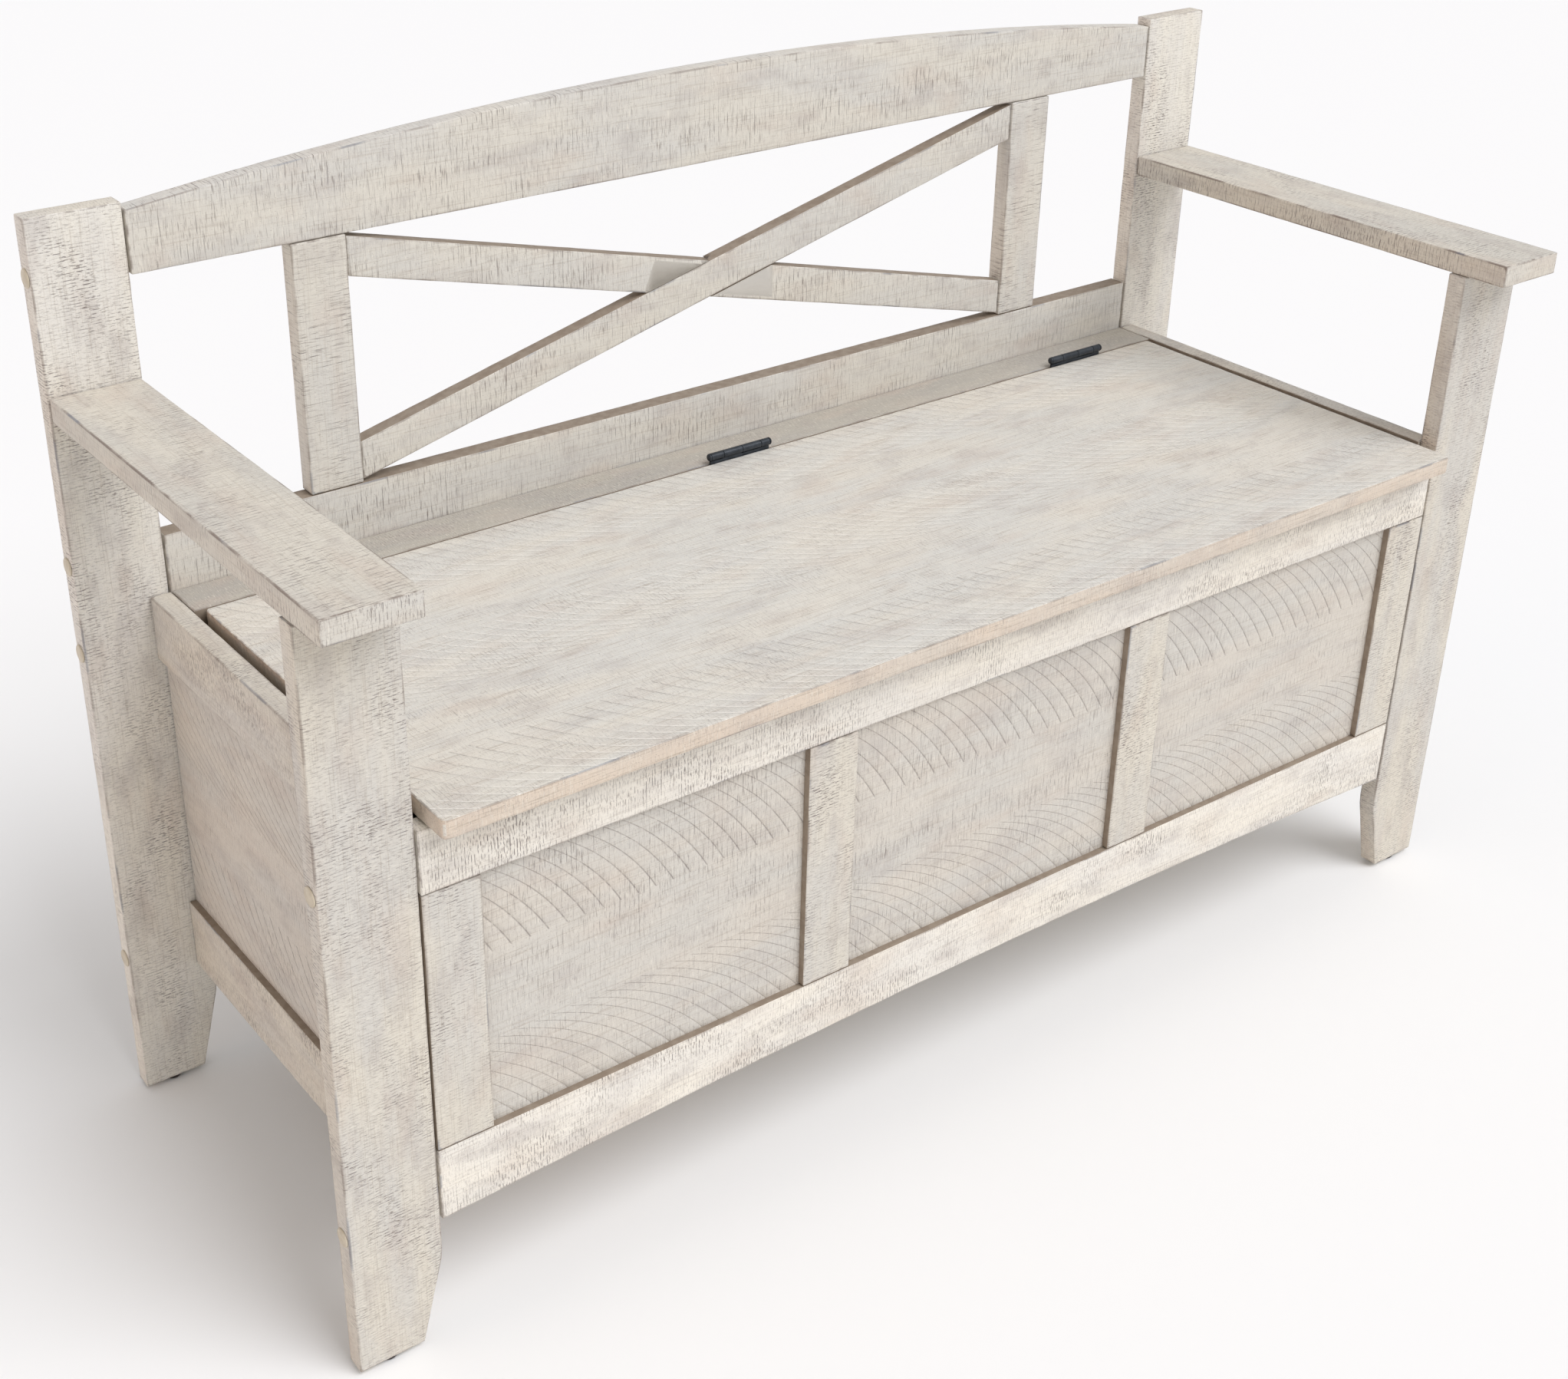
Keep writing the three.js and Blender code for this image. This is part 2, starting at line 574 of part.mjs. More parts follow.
// Sides, back and floor of the chest.
for (const [name, side] of sides) {
  const topHeight = [sideRailBottom, stripTop];
  const bottomHeight = [CHEST_BOTTOM, bottomRailTop];
  const bottomRail = sideRail(side, bottomHeight, bottomRailTop).subtract(floorSlot());
  add(`side_top_rail_${name}`, sideRail(side, topHeight, sideRailBottom), paintedWood);
  add(`side_bottom_rail_${name}`, bottomRail, paintedWood);
  add(`side_panel_${name}`, sidePanel(side), paintedWood);
}
add("rear_bottom_rail", rearBottomRail(), paintedWood);
add("back_panel", backPanel(), paintedWood);
add("chest_floor", floorBoard(TONGUE_LENGTH, [floorUnderside, floorTop]), paintedWood);
const braceHeight = [floorUnderside - BOARD - FIT, floorUnderside - FIT];
add("floor_brace", block([-BRACE_WIDTH / 2, BRACE_WIDTH / 2], chestDepth, braceHeight), paintedWood);

// Hinge strip, lid, bumpers and hinges.
add("hinge_strip", hingeStrip(), paintedWood);
add("lid", lid(), seatWood);
for (const [name, side] of sides) add(`lid_bumper_${name}`, bumper(side), clearRubber);
hingeCentres.forEach((x, i) => {
  const name = ["left", "centre", "right"][i];
  add(`hinge_leaf_fixed_${name}`, hingeLeaf(x, 1), blackSteel);
  add(`hinge_leaf_lid_${name}`, hingeLeaf(x, -1), blackSteel);
  add(`hinge_pin_${name}`, hingePin(x), blackSteel);
});

export default bench;
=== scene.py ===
"""A whitewashed storage bench: boards with eased, worn edges, panels and a lid with arc-shaped saw
cuts, black steel hinges, domed bolt covers and nail-on glides. Metres, in the frame of the model."""

import json
import math

import bpy
from mathutils import Matrix, Vector


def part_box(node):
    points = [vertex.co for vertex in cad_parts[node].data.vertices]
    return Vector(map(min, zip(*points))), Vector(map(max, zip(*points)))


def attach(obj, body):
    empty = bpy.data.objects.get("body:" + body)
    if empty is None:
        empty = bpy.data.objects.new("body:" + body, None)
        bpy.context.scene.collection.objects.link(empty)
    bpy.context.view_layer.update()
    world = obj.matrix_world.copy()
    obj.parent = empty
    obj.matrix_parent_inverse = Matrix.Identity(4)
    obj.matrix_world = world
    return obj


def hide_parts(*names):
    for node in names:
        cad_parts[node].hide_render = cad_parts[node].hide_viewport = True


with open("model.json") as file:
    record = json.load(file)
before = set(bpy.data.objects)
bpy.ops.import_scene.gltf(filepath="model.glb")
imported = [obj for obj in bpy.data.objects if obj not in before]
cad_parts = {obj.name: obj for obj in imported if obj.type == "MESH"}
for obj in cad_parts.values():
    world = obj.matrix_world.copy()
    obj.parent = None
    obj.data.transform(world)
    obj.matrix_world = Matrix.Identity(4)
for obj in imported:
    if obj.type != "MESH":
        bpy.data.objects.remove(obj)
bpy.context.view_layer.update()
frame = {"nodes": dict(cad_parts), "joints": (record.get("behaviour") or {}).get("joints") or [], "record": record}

MM = 0.001
X, Y, Z = 0, 1, 2
RIGHT, FRONT, UP = Vector((1, 0, 0)), Vector((0, -1, 0)), Vector((0, 0, 1))

# Camera: where it looks, and from which side, height and distance.
CAMERA_TARGET = Vector((-0.0016, 0.2596, 0.2677))
CAMERA_DISTANCE = 2.1193
CAMERA_AZIMUTH = -35.277
CAMERA_ELEVATION = 27.456
CAMERA_ROLL = -0.05
CAMERA_LENS = 49.291
CAMERA_SENSOR = 36
CAMERA_SHIFT = (0.0676, -0.0465)

# Light: the side it comes from, its strength and its colour.
KEY_LIGHT = ((0.15, -0.36, 0.50), 2.02, "#f8faff")
WARM_FILL = ((-1, 0.1, 0.15), 0.34, "#ffb070")
LIGHT_SPREAD = math.radians(40)
SKY_STRENGTH = 0.60
FLOOR_SIZE = 60

# Boards.
EASE = 1.2 * MM  # radius of a worn edge
MARGIN = 3.5 * MM  # width that the wear reaches in from an edge
SLICE_ALONG = 10 * MM
SLICE_ACROSS = 19 * MM
NICK_DEPTH = 0.4 * MM
NICK_SIZE = 9 * MM
HOLLOW_DEPTH = 0.14 * MM  # unevenness of a sawn face
HOLLOW_SIZE = 45 * MM
FOOT_WIDTH = 55 * MM
FOOT_TAPER = 78 * MM
CREST_END_HEIGHT = 49.5 * MM
BOTTOM_RAIL_RISE = 13 * MM
BAR_WIDTH = 33 * MM
LAP_FIT = 0.3 * MM  # between boards that are let into each other
LID_CORNER = 5 * MM
BACK_SLICE = 60 * MM  # squares that the back of a sheet is cut into
PANEL_GAP = 1.2 * MM  # between a side panel and the posts beside it

# Arc-shaped saw cuts in the panels and the lid.
ARC_PITCH = 15.7 * MM
ARC_BAND = 76 * MM  # width of one band, with arcs or plain
PANEL_FIRST_BAND = 81 * MM  # the first one, with the part of it in the frame's groove
ARC_DEPTH = 0.35 * MM
ARC_HALF_WIDTH = 0.8 * MM
ARC_ROW = 5 * MM
ARC_FADE = 0.5 * MM  # in which a cut ends at the border of its band
STEEP_ARC = (29, 200 * MM)  # lean at the start in degrees, and radius
SHALLOW_ARC = (19, 232 * MM)

SHARP = math.radians(40)

body_of = {n: body for body, nodes in frame["record"]["behaviour"]["bodies"].items() for n in nodes}


# ---------------------------------------------------------------- modelling helpers

def deselect_all():
    if bpy.context.object and bpy.context.object.mode != "OBJECT":
        bpy.ops.object.mode_set(mode="OBJECT")
    bpy.ops.object.select_all(action="DESELECT")


def pick(piece):
    """Selects only this piece."""
    deselect_all()
    bpy.context.view_layer.objects.active = piece
    piece.select_set(True)


def edit(piece):
    """Opens a piece in edit mode with all of it selected."""
    pick(piece)
    bpy.ops.object.mode_set(mode="EDIT")
    bpy.ops.mesh.select_all(action="SELECT")


def close_edit():
    bpy.ops.object.mode_set(mode="OBJECT")


def select(piece, kind, wanted):
    """In edit mode, selects only the vertices, edges or faces for which wanted(element) is true."""
    bpy.ops.mesh.select_all(action="DESELECT")
    bpy.ops.mesh.select_mode(type={"vertices": "VERT", "edges": "EDGE", "polygons": "FACE"}[kind])
    close_edit()
    for element in getattr(piece.data, kind):
        element.select = wanted(element)
    bpy.ops.object.mode_set(mode="EDIT")


def bisect(axis, at, **options):
    """Cuts all of the open piece on a plane square to an axis."""
    normal = [float(i == axis) for i in range(3)]
    bpy.ops.mesh.select_all(action="SELECT")
    bpy.ops.mesh.bisect(plane_co=[at * n for n in normal], plane_no=normal, **options)


def apply(piece, kind, **settings):
    """Adds a modifier with its settings and applies it."""
    bpy.context.view_layer.objects.active = piece
    modifier = piece.modifiers.new(kind.title(), kind)
    for name, value in settings.items():
        setattr(modifier, name, value)
    bpy.ops.object.modifier_apply(modifier=modifier.name)


def smooth(degrees):
    """Smooths the active piece's shading, except over edges sharper than this."""
    bpy.ops.object.shade_smooth_by_angle(angle=math.radians(degrees))


def join(piece, part):
    """Makes a part one solid with a piece."""
    apply(piece, "BOOLEAN", object=part, operation="UNION", solver="EXACT")
    bpy.data.objects.remove(part)


def attribute(piece, name, values):
    """Writes a number for each point of a piece, for its finish to read."""
    layer = piece.data.attributes.get(name) or piece.data.attributes.new(name, "FLOAT", "POINT")
    layer.data.foreach_set("value", values)


def block(name, low, high):
    """A box between two corners, as a start for a piece."""
    deselect_all()
    low, high = Vector(low), Vector(high)
    bpy.ops.mesh.primitive_cube_add(size=1, location=(low + high) / 2, scale=high - low)
    piece = bpy.context.object
    bpy.ops.object.transform_apply(location=True, rotation=True, scale=True)
    piece.name = piece.data.name = name
    return piece


def stands_for(piece, material, *nodes):
    """Finishes a piece: it takes over the body of the nodes it replaces, hides them, and takes the material it is
    given.
    Its own number, as an attribute, lets each board be cut from another place of the wood."""
    number = sorted(frame["nodes"]).index(nodes[0])
    attribute(piece, "board", [0.731 * number] * len(piece.data.vertices))
    piece.data.materials.clear()
    piece.data.materials.append(material)
    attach(piece, body_of[nodes[0]])
    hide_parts(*nodes)
    return piece


# ---------------------------------------------------------------- boards

def slice_up(piece, along):
    """Cuts the open block beside each edge, and then evenly, finer along the board than across."""
    low, high = Vector(piece.bound_box[0]), Vector(piece.bound_box[6])
    for axis in (X, Y, Z):
        bisect(axis, low[axis] + MARGIN)
        bisect(axis, high[axis] - MARGIN)
    for axis in (X, Y, Z):
        step = SLICE_ALONG if axis == along else SLICE_ACROSS
        cuts = round((high[axis] - low[axis] - 2 * MARGIN) / step) - 1
        if cuts < 1:
            continue

        def runs_along(edge):
            a, b = (piece.data.vertices[i].co for i in edge.vertices)
            return abs(a[axis] - b[axis]) > 2 * MARGIN

        select(piece, "edges", runs_along)
        bpy.ops.mesh.subdivide(number_cuts=cuts)


def ease_edges(piece):
    """Rounds the sharp edges and marks them, so that wear in shape and finish can follow them."""
    bpy.ops.mesh.select_all(action="DESELECT")
    bpy.ops.mesh.select_mode(type="EDGE")
    bpy.ops.mesh.edges_select_sharp(sharpness=SHARP)
    bpy.ops.mesh.bevel(offset=EASE, segments=3, profile=0.5, affect="EDGES", clamp_overlap=False)
    bpy.ops.mesh.select_mode(type="VERT")
    close_edit()
    mark_worn(piece, [float(v.select) for v in piece.data.vertices])


def mark_worn(piece, values):
    """Notes how worn each point is, for its finish and for the nicks."""
    attribute(piece, "worn", values)
    group = piece.vertex_groups.new(name="worn")
    for i, value in enumerate(values):
        if value > 0:
            group.add([i], value, "REPLACE")


def clouds(name, size):
    """A noise that moves points."""
    texture = bpy.data.textures.get(name) or bpy.data.textures.new(name, "CLOUDS")
    texture.noise_scale = size
    return texture


def weather(piece):
    """Nicks along the edges and slight hollows in the faces, both only ever into the wood."""
    apply(piece, "DISPLACE", texture=clouds("nicks", NICK_SIZE), texture_coords="LOCAL",
          vertex_group="worn", strength=NICK_DEPTH, mid_level=1.0)
    apply(piece, "DISPLACE", texture=clouds("hollows", HOLLOW_SIZE), texture_coords="LOCAL",
          strength=HOLLOW_DEPTH, mid_level=1.0)
    piece.vertex_groups.clear()
    pick(piece)
    smooth(60)


def paint(piece, finish_name, *directions):
    """Gives the faces that point these ways another finish than the rest of the piece."""
    piece.data.materials.append(finishes[finish_name])
    for face in piece.data.polygons:
        if any(face.normal.dot(way) > 0.8 for way in directions):
            face.material_index = len(piece.data.materials) - 1
    return piece


def board(node, along, material, shape=None, size=None):
    """A sawn board the size of a node. shape moves each point of the straight board."""
    low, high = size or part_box(node)
    piece = block(node + "_board", low, high)
    edit(piece)
    slice_up(piece, along)
    ease_edges(piece)
    if shape:
        for v in piece.data.vertices:
            v.co = shape(v.co.copy())
    weather(piece)
    return stands_for(piece, material, node)


def tapered(node):
    """The shape of a post: below the taper its inner edge runs in towards the outer one."""
    low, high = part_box(node)
    outer = high.x if high.x > 0 else low.x
    width = high.x - low.x

    def shape(co):
        down = max(0, (low.z + FOOT_TAPER - co.z) / FOOT_TAPER)
        share = 1 - down * (1 - FOOT_WIDTH / width)
        co.x = outer + (co.x - outer) * share
        return co

    return shape


def arch(half_chord, rise):
    """Height of a circular arch over its chord, as a function of the place along it."""
    radius = (half_chord ** 2 + rise ** 2) / (2 * rise)
    return lambda x: rise - radius + math.sqrt(max(0, radius ** 2 - x ** 2))


def crest_shape():
    """The shape of the crest rail: arched on top, level underneath."""
    low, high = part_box("crest_rail")
    rise = high.z - low.z - CREST_END_HEIGHT
    height = arch(high.x, rise)

    def shape(co):
        co.z -= (rise - height(co.x)) * (co.z - low.z) / (high.z - low.z)
        return co

    return shape


def bottom_rail_shape():
    """The shape of the front bottom rail: level on top, arched underneath."""
    low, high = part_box("front_bottom_rail")
    height = arch(high.x, BOTTOM_RAIL_RISE)

    def shape(co):
        co.z += height(co.x) * (high.z - co.z) / (high.z - low.z)
        return co

    return shape


def crossed_bar(node, rising, material):
    """A slanted bar, cut back to half its thickness where the other one crosses it."""
    low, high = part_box(node)
    slope = (high.z - low.z - BAR_WIDTH) / (high.x - low.x)
    slice_height = BAR_WIDTH * math.sqrt(1 + slope ** 2)
    slope = (high.z - low.z - slice_height) / (high.x - low.x)
    middle = (low + high) / 2

    def slanted(sign, grow=0):
        def shape(co):
            co.z += sign * slope * (co.x - middle.x)
            return co
        half = Vector(((high.x - low.x) / 2, (high.y - low.y) / 2, slice_height / 2 + grow))
        return shape, (middle - half, middle + half)

    sign = 1 if rising else -1
    shape, size = slanted(sign)
    piece = board(node, X, material, shape, size)
    cut_shape, (cut_low, cut_high) = slanted(-sign, LAP_FIT)
    cut_low[Y] = middle.y - LAP_FIT / 2 if rising else low.y - MARGIN
    cut_high[Y] = high.y + MARGIN if rising else middle.y + LAP_FIT / 2
    cutter = block("lap", cut_low, cut_high)
    for v in cutter.data.vertices:
        v.co = cut_shape(v.co.copy())
    apply(piece, "BOOLEAN", object=cutter, operation="DIFFERENCE", solver="EXACT")
    bpy.data.objects.remove(cutter)
    smooth(60)
    return piece


# ---------------------------------------------------------------- sheets with saw arcs

def arc_bands(first, count):
    """Band borders across a sheet: (start, end, arc or None), with every other band plain."""
    bands, at = [], 0
    for i in range(count):
        end = first + i * ARC_BAND
        kind = None if i % 2 else (STEEP_ARC, SHALLOW_ARC)[i // 2 % 2]
        bands.append((at, end, kind))
        at = end
    return bands


def swing(arc, run):
    """Sine of an arc's lean when it is run across its band."""
    lean, radius = arc
    return math.sin(math.acos(math.cos(math.radians(lean)) - run / radius))


def drift(bands, t):
    """How far along the sheet a saw arc has moved when it is t across it."""
    moved = 0
    for start, end, arc in bands:
        if arc and t > start:
            # A short first band is the later part of an arc.
            skipped = max(0, ARC_BAND - (end - start)) if start == 0 else 0
            run = min(t, end) - start + skipped
            radius = arc[1]
            moved += radius * (swing(arc, run) - swing(arc, skipped))
    return moved


def cut_depth(bands, t):
    """Depth of the arcs at t, and how dark the wash is in them, both from 0 to 1."""
    for start, end, arc in bands:
        if arc and start - 1e-6 <= t <= end + 1e-6:
            inside = min(t - start if start > 0 else 1, end - t)
            share = (t - start) / (end - start)
            # A steep arc gets darker across its band, and a shallow one paler; on the seat the pale part is white
            # wash with painted highlight.
            ink = 0.5 + 0.5 * share if arc == STEEP_ARC else 0.75 - 0.25 * share
            return min(1, inside / ARC_FADE), ink
    return 0, 0


def sheet_columns(length, reach):
    """Places along the sheet where the arcs start, three to each cut and two between cuts, and
    whether each one is the bottom of a cut."""
    columns = []
    for k in range(math.floor(-reach / ARC_PITCH) - 1, math.ceil(length / ARC_PITCH) + 2):
        for step in (-1, 0, 1):
            columns.append((k * ARC_PITCH + step * ARC_HALF_WIDTH, step == 0))
        for share in (1 / 3, 2 / 3):
            columns.append((k * ARC_PITCH + share * ARC_PITCH, False))
    return columns


def sheet_rows(bands, width):
    """Places across the sheet: even in each band, and close by on both sides of its border."""
    borders = sorted({round(start, 6) for start, _, _ in bands} | {round(width, 6)})
    rows = [width]
    for a, b in zip(borders, borders[1:]):
        count = max(1, round((b - a) / ARC_ROW))
        rows += [a + (b - a) * i / count for i in range(count)]
    for _, end, _ in bands:
        if end < width:
            rows += [end - ARC_FADE, end + ARC_FADE]
    return sorted(rows)


def sheet(low, high, name, bands, origin, axes, rim):
    """A sheet with arcs cut in its face. s runs along it and t across it from the origin corner.
    rim is the outline of its edge: (how far in from the side, how far down from the face)."""
    s_axis, t_axis, normal = axes
    width = abs((high - low).dot(t_axis))
    columns = sheet_columns(abs((high - low).dot(s_axis)), drift(bands, width))
    rows = sheet_rows(bands, width)
    deselect_all()
    bpy.ops.mesh.primitive_grid_add(x_subdivisions=len(columns) - 1, y_subdivisions=len(rows) - 1, size=1)
    piece = bpy.context.object
    piece.name = piece.data.name = name
    kerf, ink = [], []
    for v in piece.data.vertices:
        s, is_cut = columns[round((v.co.x + 0.5) * (len(columns) - 1))]
        t = rows[round((v.co.y + 0.5) * (len(rows) - 1))]
        depth, dark = cut_depth(bands, t)
        depth = depth if is_cut else 0
        v.co = origin + (s + drift(bands, t)) * s_axis + t * t_axis - depth * ARC_DEPTH * normal
        kerf.append(depth)
        ink.append(dark)
    attribute(piece, "kerf", kerf)
    attribute(piece, "ink", ink)
    attribute(piece, "worn", [0.0] * len(kerf))
    edit(piece)
    across = [axis for axis in (X, Y, Z) if abs(normal[axis]) < 0.5]
    trim(low, high, across, rim[0][0])
    add_rim(piece, low, high, across, normal, rim)
    bpy.ops.mesh.select_all(action="SELECT")
    bpy.ops.mesh.normals_make_consistent(inside=False)
    close_edit()
    # The rim took over the marks of the border it was extruded from.
    face = max(normal.dot(low), normal.dot(high))
    for v, mark in zip(piece.data.vertices, piece.data.attributes["kerf"].data):
        if face - normal.dot(v.co) > 2 * ARC_DEPTH:
            mark.value = 0
    return piece


def trim(low, high, across, inset):
    """Cuts the open sheet to size. Lines beside the cut keep the wear of a rounded rim beside it."""
    for axis in across:
        bisect(axis, low[axis] + inset, clear_inner=True)
        bisect(axis, high[axis] - inset, clear_outer=True)
    if inset:
        for axis in across:
            for share in (0.4, 0.6, 0.8, 1):
                bisect(axis, low[axis] + share * LID_CORNER)
                bisect(axis, high[axis] - share * LID_CORNER)


def add_rim(piece, low, high, across, normal, rim):
    """Extrudes the sheet's open border round its edge, and closes the back."""
    face = max(normal.dot(low), normal.dot(high))
    bpy.ops.mesh.select_all(action="DESELECT")
    bpy.ops.mesh.select_mode(type="EDGE")
    bpy.ops.mesh.select_non_manifold()
    inset = rim[0][0]
    for out, down in rim[1:]:
        bpy.ops.mesh.extrude_edges_move()
        bpy.ops.mesh.select_mode(type="VERT")
        close_edit()
        for v in piece.data.vertices:
            if not v.select:
                continue
            for axis in across:
                if abs(v.co[axis] - low[axis] - inset) < 1e-5:
                    v.co[axis] = low[axis] + out
                elif abs(high[axis] - inset - v.co[axis]) < 1e-5:
                    v.co[axis] = high[axis] - out
            v.co += (face - down - normal.dot(v.co)) * normal
        inset = out
        bpy.ops.object.mode_set(mode="EDIT")
        bpy.ops.mesh.select_mode(type="EDGE")
    bpy.ops.mesh.edge_face_add()
    slice_back(piece, low, high, across, normal, face - rim[-1][1])


def slice_back(piece, low, high, across, normal, back):
    """Cuts the one face of the back into squares, so that its shading stays even."""
    for axis in across:
        steps = round((high[axis] - low[axis]) / BACK_SLICE)
        for i in range(1, steps):
            select(piece, "polygons", lambda p: abs(normal.dot(p.center) - back) < 1e-5)
            at = low[axis] + (high[axis] - low[axis]) * i / steps
            cut = [float(j == axis) for j in range(3)]
            bpy.ops.mesh.bisect(plane_co=[at * c for c in cut], plane_no=cut)


def panel_sheet(node, axes, material):
    """A grooved-in panel; its border is hidden in the frame round it."""
    low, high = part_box(node)
    if node.startswith("side"):
        low.y += PANEL_GAP
        high.y -= PANEL_GAP
    thickness = abs((high - low).dot(axes[2]))
    bands = arc_bands(PANEL_FIRST_BAND, 3)
    rim = [(0, 0), (0, thickness)]
    piece = sheet(low, high, node + "_sheet", bands, corner(low, high, axes), axes, rim)
    smooth(30)
    return stands_for(piece, material, node)


def corner(low, high, axes):
    """The corner of a box where s and t start, on the face that the normal points out of."""
    s_axis, t_axis, normal = axes
    place = Vector((0, 0, 0))
    for i in (X, Y, Z):
        if s_axis[i] + t_axis[i] > 0 or normal[i] < 0:
            place[i] = low[i]
        else:
            place[i] = high[i]
    return place


def round_corner(co, low, high):
    """Draws a point of the lid's square corner in to a round one, seen from above."""
    centre = [0, 0]
    for i in (X, Y):
        middle = (low[i] + high[i]) / 2
        side = 1 if co[i] > middle else -1
        centre[i] = (high[i] if side > 0 else low[i]) - side * LID_CORNER
        if (co[i] - centre[i]) * side <= 0:
            return
    out = Vector((co.x - centre[X], co.y - centre[Y]))
    reach = max(abs(out.x), abs(out.y)) / out.length
    co.x, co.y = centre[X] + out.x * reach, centre[Y] + out.y * reach


def lid_board(material):
    """The lid: arcs in every other band of its top, from the front edge to the hinges."""
    low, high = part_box("lid")
    axes = (-RIGHT, -FRONT, UP)
    thickness = high.z - low.z
    round_top = [(EASE * (1 - math.sin(a)), EASE * (1 - math.cos(a))) for a in
                 (math.radians(30 * i) for i in range(4))]
    rim = round_top + [(0, MARGIN), (0, thickness / 2), (0, thickness - MARGIN)]
    rim += [(inset, thickness - down) for inset, down in reversed(round_top)]
    rim += [(MARGIN, thickness)]
    bands = arc_bands(ARC_BAND, 5)
    piece = sheet(low, high, "lid_board", bands, corner(low, high, axes), axes, rim)
    for v in piece.data.vertices:
        round_corner(v.co, low, high)

    def on_edge(v):
        gaps = sorted((min(v.co[i] - low[i], high[i] - v.co[i]) for i in (X, Y, Z)))
        return float(gaps[1] <= EASE * 1.05)

    mark_worn(piece, [on_edge(v) for v in piece.data.vertices])
    weather(piece)
    stands_for(piece, material, "lid")
    paint(piece, "seat edge", RIGHT, -RIGHT, FRONT)
    # The seat's back face, in the gap by the hinges, gets the brown finish as painted shade for the dark there.
    paint(piece, "stain_and_gap_shade", -FRONT)


# ---------------------------------------------------------------- turned and steel pieces

def turned(name, centre, axis, profile, steps=32):
    """Traces a profile of (radius, place along the axis) by extruding, and spins it."""
    deselect_all()
    bpy.ops.mesh.primitive_plane_add(size=MM, location=(0, 0, 0))
    piece = bpy.context.object
    piece.name = piece.data.name = name
    out = Vector((0, 0, 1)) if axis.z == 0 else Vector((1, 0, 0))
    points = [centre + r * out + a * axis for r, a in profile]
    edit(piece)
    bpy.ops.mesh.select_mode(type="VERT")
    bpy.ops.mesh.select_all(action="SELECT")
    bpy.ops.mesh.merge(type="CENTER")
    bpy.ops.transform.translate(value=points[0])
    for here, there in zip(points, points[1:]):
        bpy.ops.mesh.extrude_vertices_move(TRANSFORM_OT_translate={"value": there - here})
    bpy.ops.mesh.select_all(action="SELECT")
    bpy.ops.mesh.spin(steps=steps, angle=2 * math.pi, center=centre, axis=axis)
    bpy.ops.mesh.select_all(action="SELECT")
    bpy.ops.mesh.remove_doubles(threshold=1e-6)
    bpy.ops.mesh.normals_make_consistent(inside=False)
    close_edit()
    return piece


def outward(node):
    """1 on the right-hand side of the bench and -1 on the left."""
    low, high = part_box(node)
    return 1 if low.x + high.x > 0 else -1


# Radius and height over the post, in mm.
COVER_FACE = ((7.5, 0.1), (7.5, 0.6), (7.2, 1.05), (6.4, 1.3), (5.7, 1.28), (5.2, 1.1), (4.7, 1.3),
              (3.2, 1.5), (1.6, 1.58), (0, 1.6))
BOLT_HEAD = ((3, -9), (5, -9), (5, 0.1))


def bolt_cover(node, material):
    """A domed screw cover with a ring round its crown, on the head of its bolt."""
    low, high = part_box(node)
    side = outward(node)
    face = high.x if side > 0 else low.x
    dome = COVER_FACE[-1][1] * MM
    centre = Vector((face - side * dome, (low.y + high.y) / 2, (low.z + high.z) / 2))
    tip = -(high.x - low.x) + dome
    profile = [(0, tip), (BOLT_HEAD[0][0] * MM, tip)]
    profile += [(r * MM, h * MM) for r, h in BOLT_HEAD + COVER_FACE]
    piece = turned(node + "_cover", centre, Vector((side, 0, 0)), profile)
    smooth(50)
    return stands_for(piece, material, node)


# Radius and height over the floor, in mm.
GLIDE = ((0, 0), (5.2, 0), (6.3, 0.3), (7.0, 1.0), (7.4, 2.0), (7.5, 3.3), (7.3, 3.9), (1.2, 3.9),
         (1.2, 19), (0, 22))


def glide(node, material):
    """A moulded glide: a dished foot and its nail."""
    low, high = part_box(node)
    centre = Vector(((low.x + high.x) / 2, (low.y + high.y) / 2, low.z))
    piece = turned(node + "_moulding", centre, UP, [(r * MM, h * MM) for r, h in GLIDE])
    smooth(50)
    return stands_for(piece, material, node)


def bumper(node, material):
    """A soft stick-on dot, domed on top."""
    low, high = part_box(node)
    centre = Vector(((low.x + high.x) / 2, (low.y + high.y) / 2, low.z))
    radius, height = (high.x - low.x) / 2, high.z - low.z
    profile = [(0, 0), (radius * 0.96, 0), (radius, height * 0.2)]
    profile += [(radius * math.cos(a), height * (0.35 + 0.65 * math.sin(a)))
                for a in (math.radians(d) for d in (15, 35, 55, 75))]
    piece = turned(node + "_dot", centre, UP, profile + [(0, height)])
    smooth(50)
    return stands_for(piece, material, node)


# Hinges.
KNUCKLE_RADIUS = 3.5 * MM
KNUCKLE_BORE = 1.7 * MM
KNUCKLE_EDGE = 0.35 * MM
KNUCKLE_JOINTS = (0.21, 0.53, 0.85)  # shares of the barrel's length
KNUCKLE_GAP = 0.3 * MM
LEAF_THICKNESS = 0.9 * MM
LEAF_SPLIT = 0.6 * MM  # between the two leaves
LEAF_CORNER = 3 * MM
LEAF_EDGE = 0.15 * MM
TAB_INSET = 0.06 * MM
TAB_TOP = 2.2 * MM  # under the hinge's axis
PIN_RADIUS = 1.5 * MM
SCREW_PITCH = 24 * MM
# A countersunk screw: radius and depth.
SCREW = ((0, 0), (2.4 * MM, 0), (2.6 * MM, 0.1 * MM), (1.6 * MM, 1.2 * MM), (1.6 * MM, 11 * MM),
         (0, 14 * MM))
HINGE_AXIS = Vector(frame["joints"][0]["pos_m"])


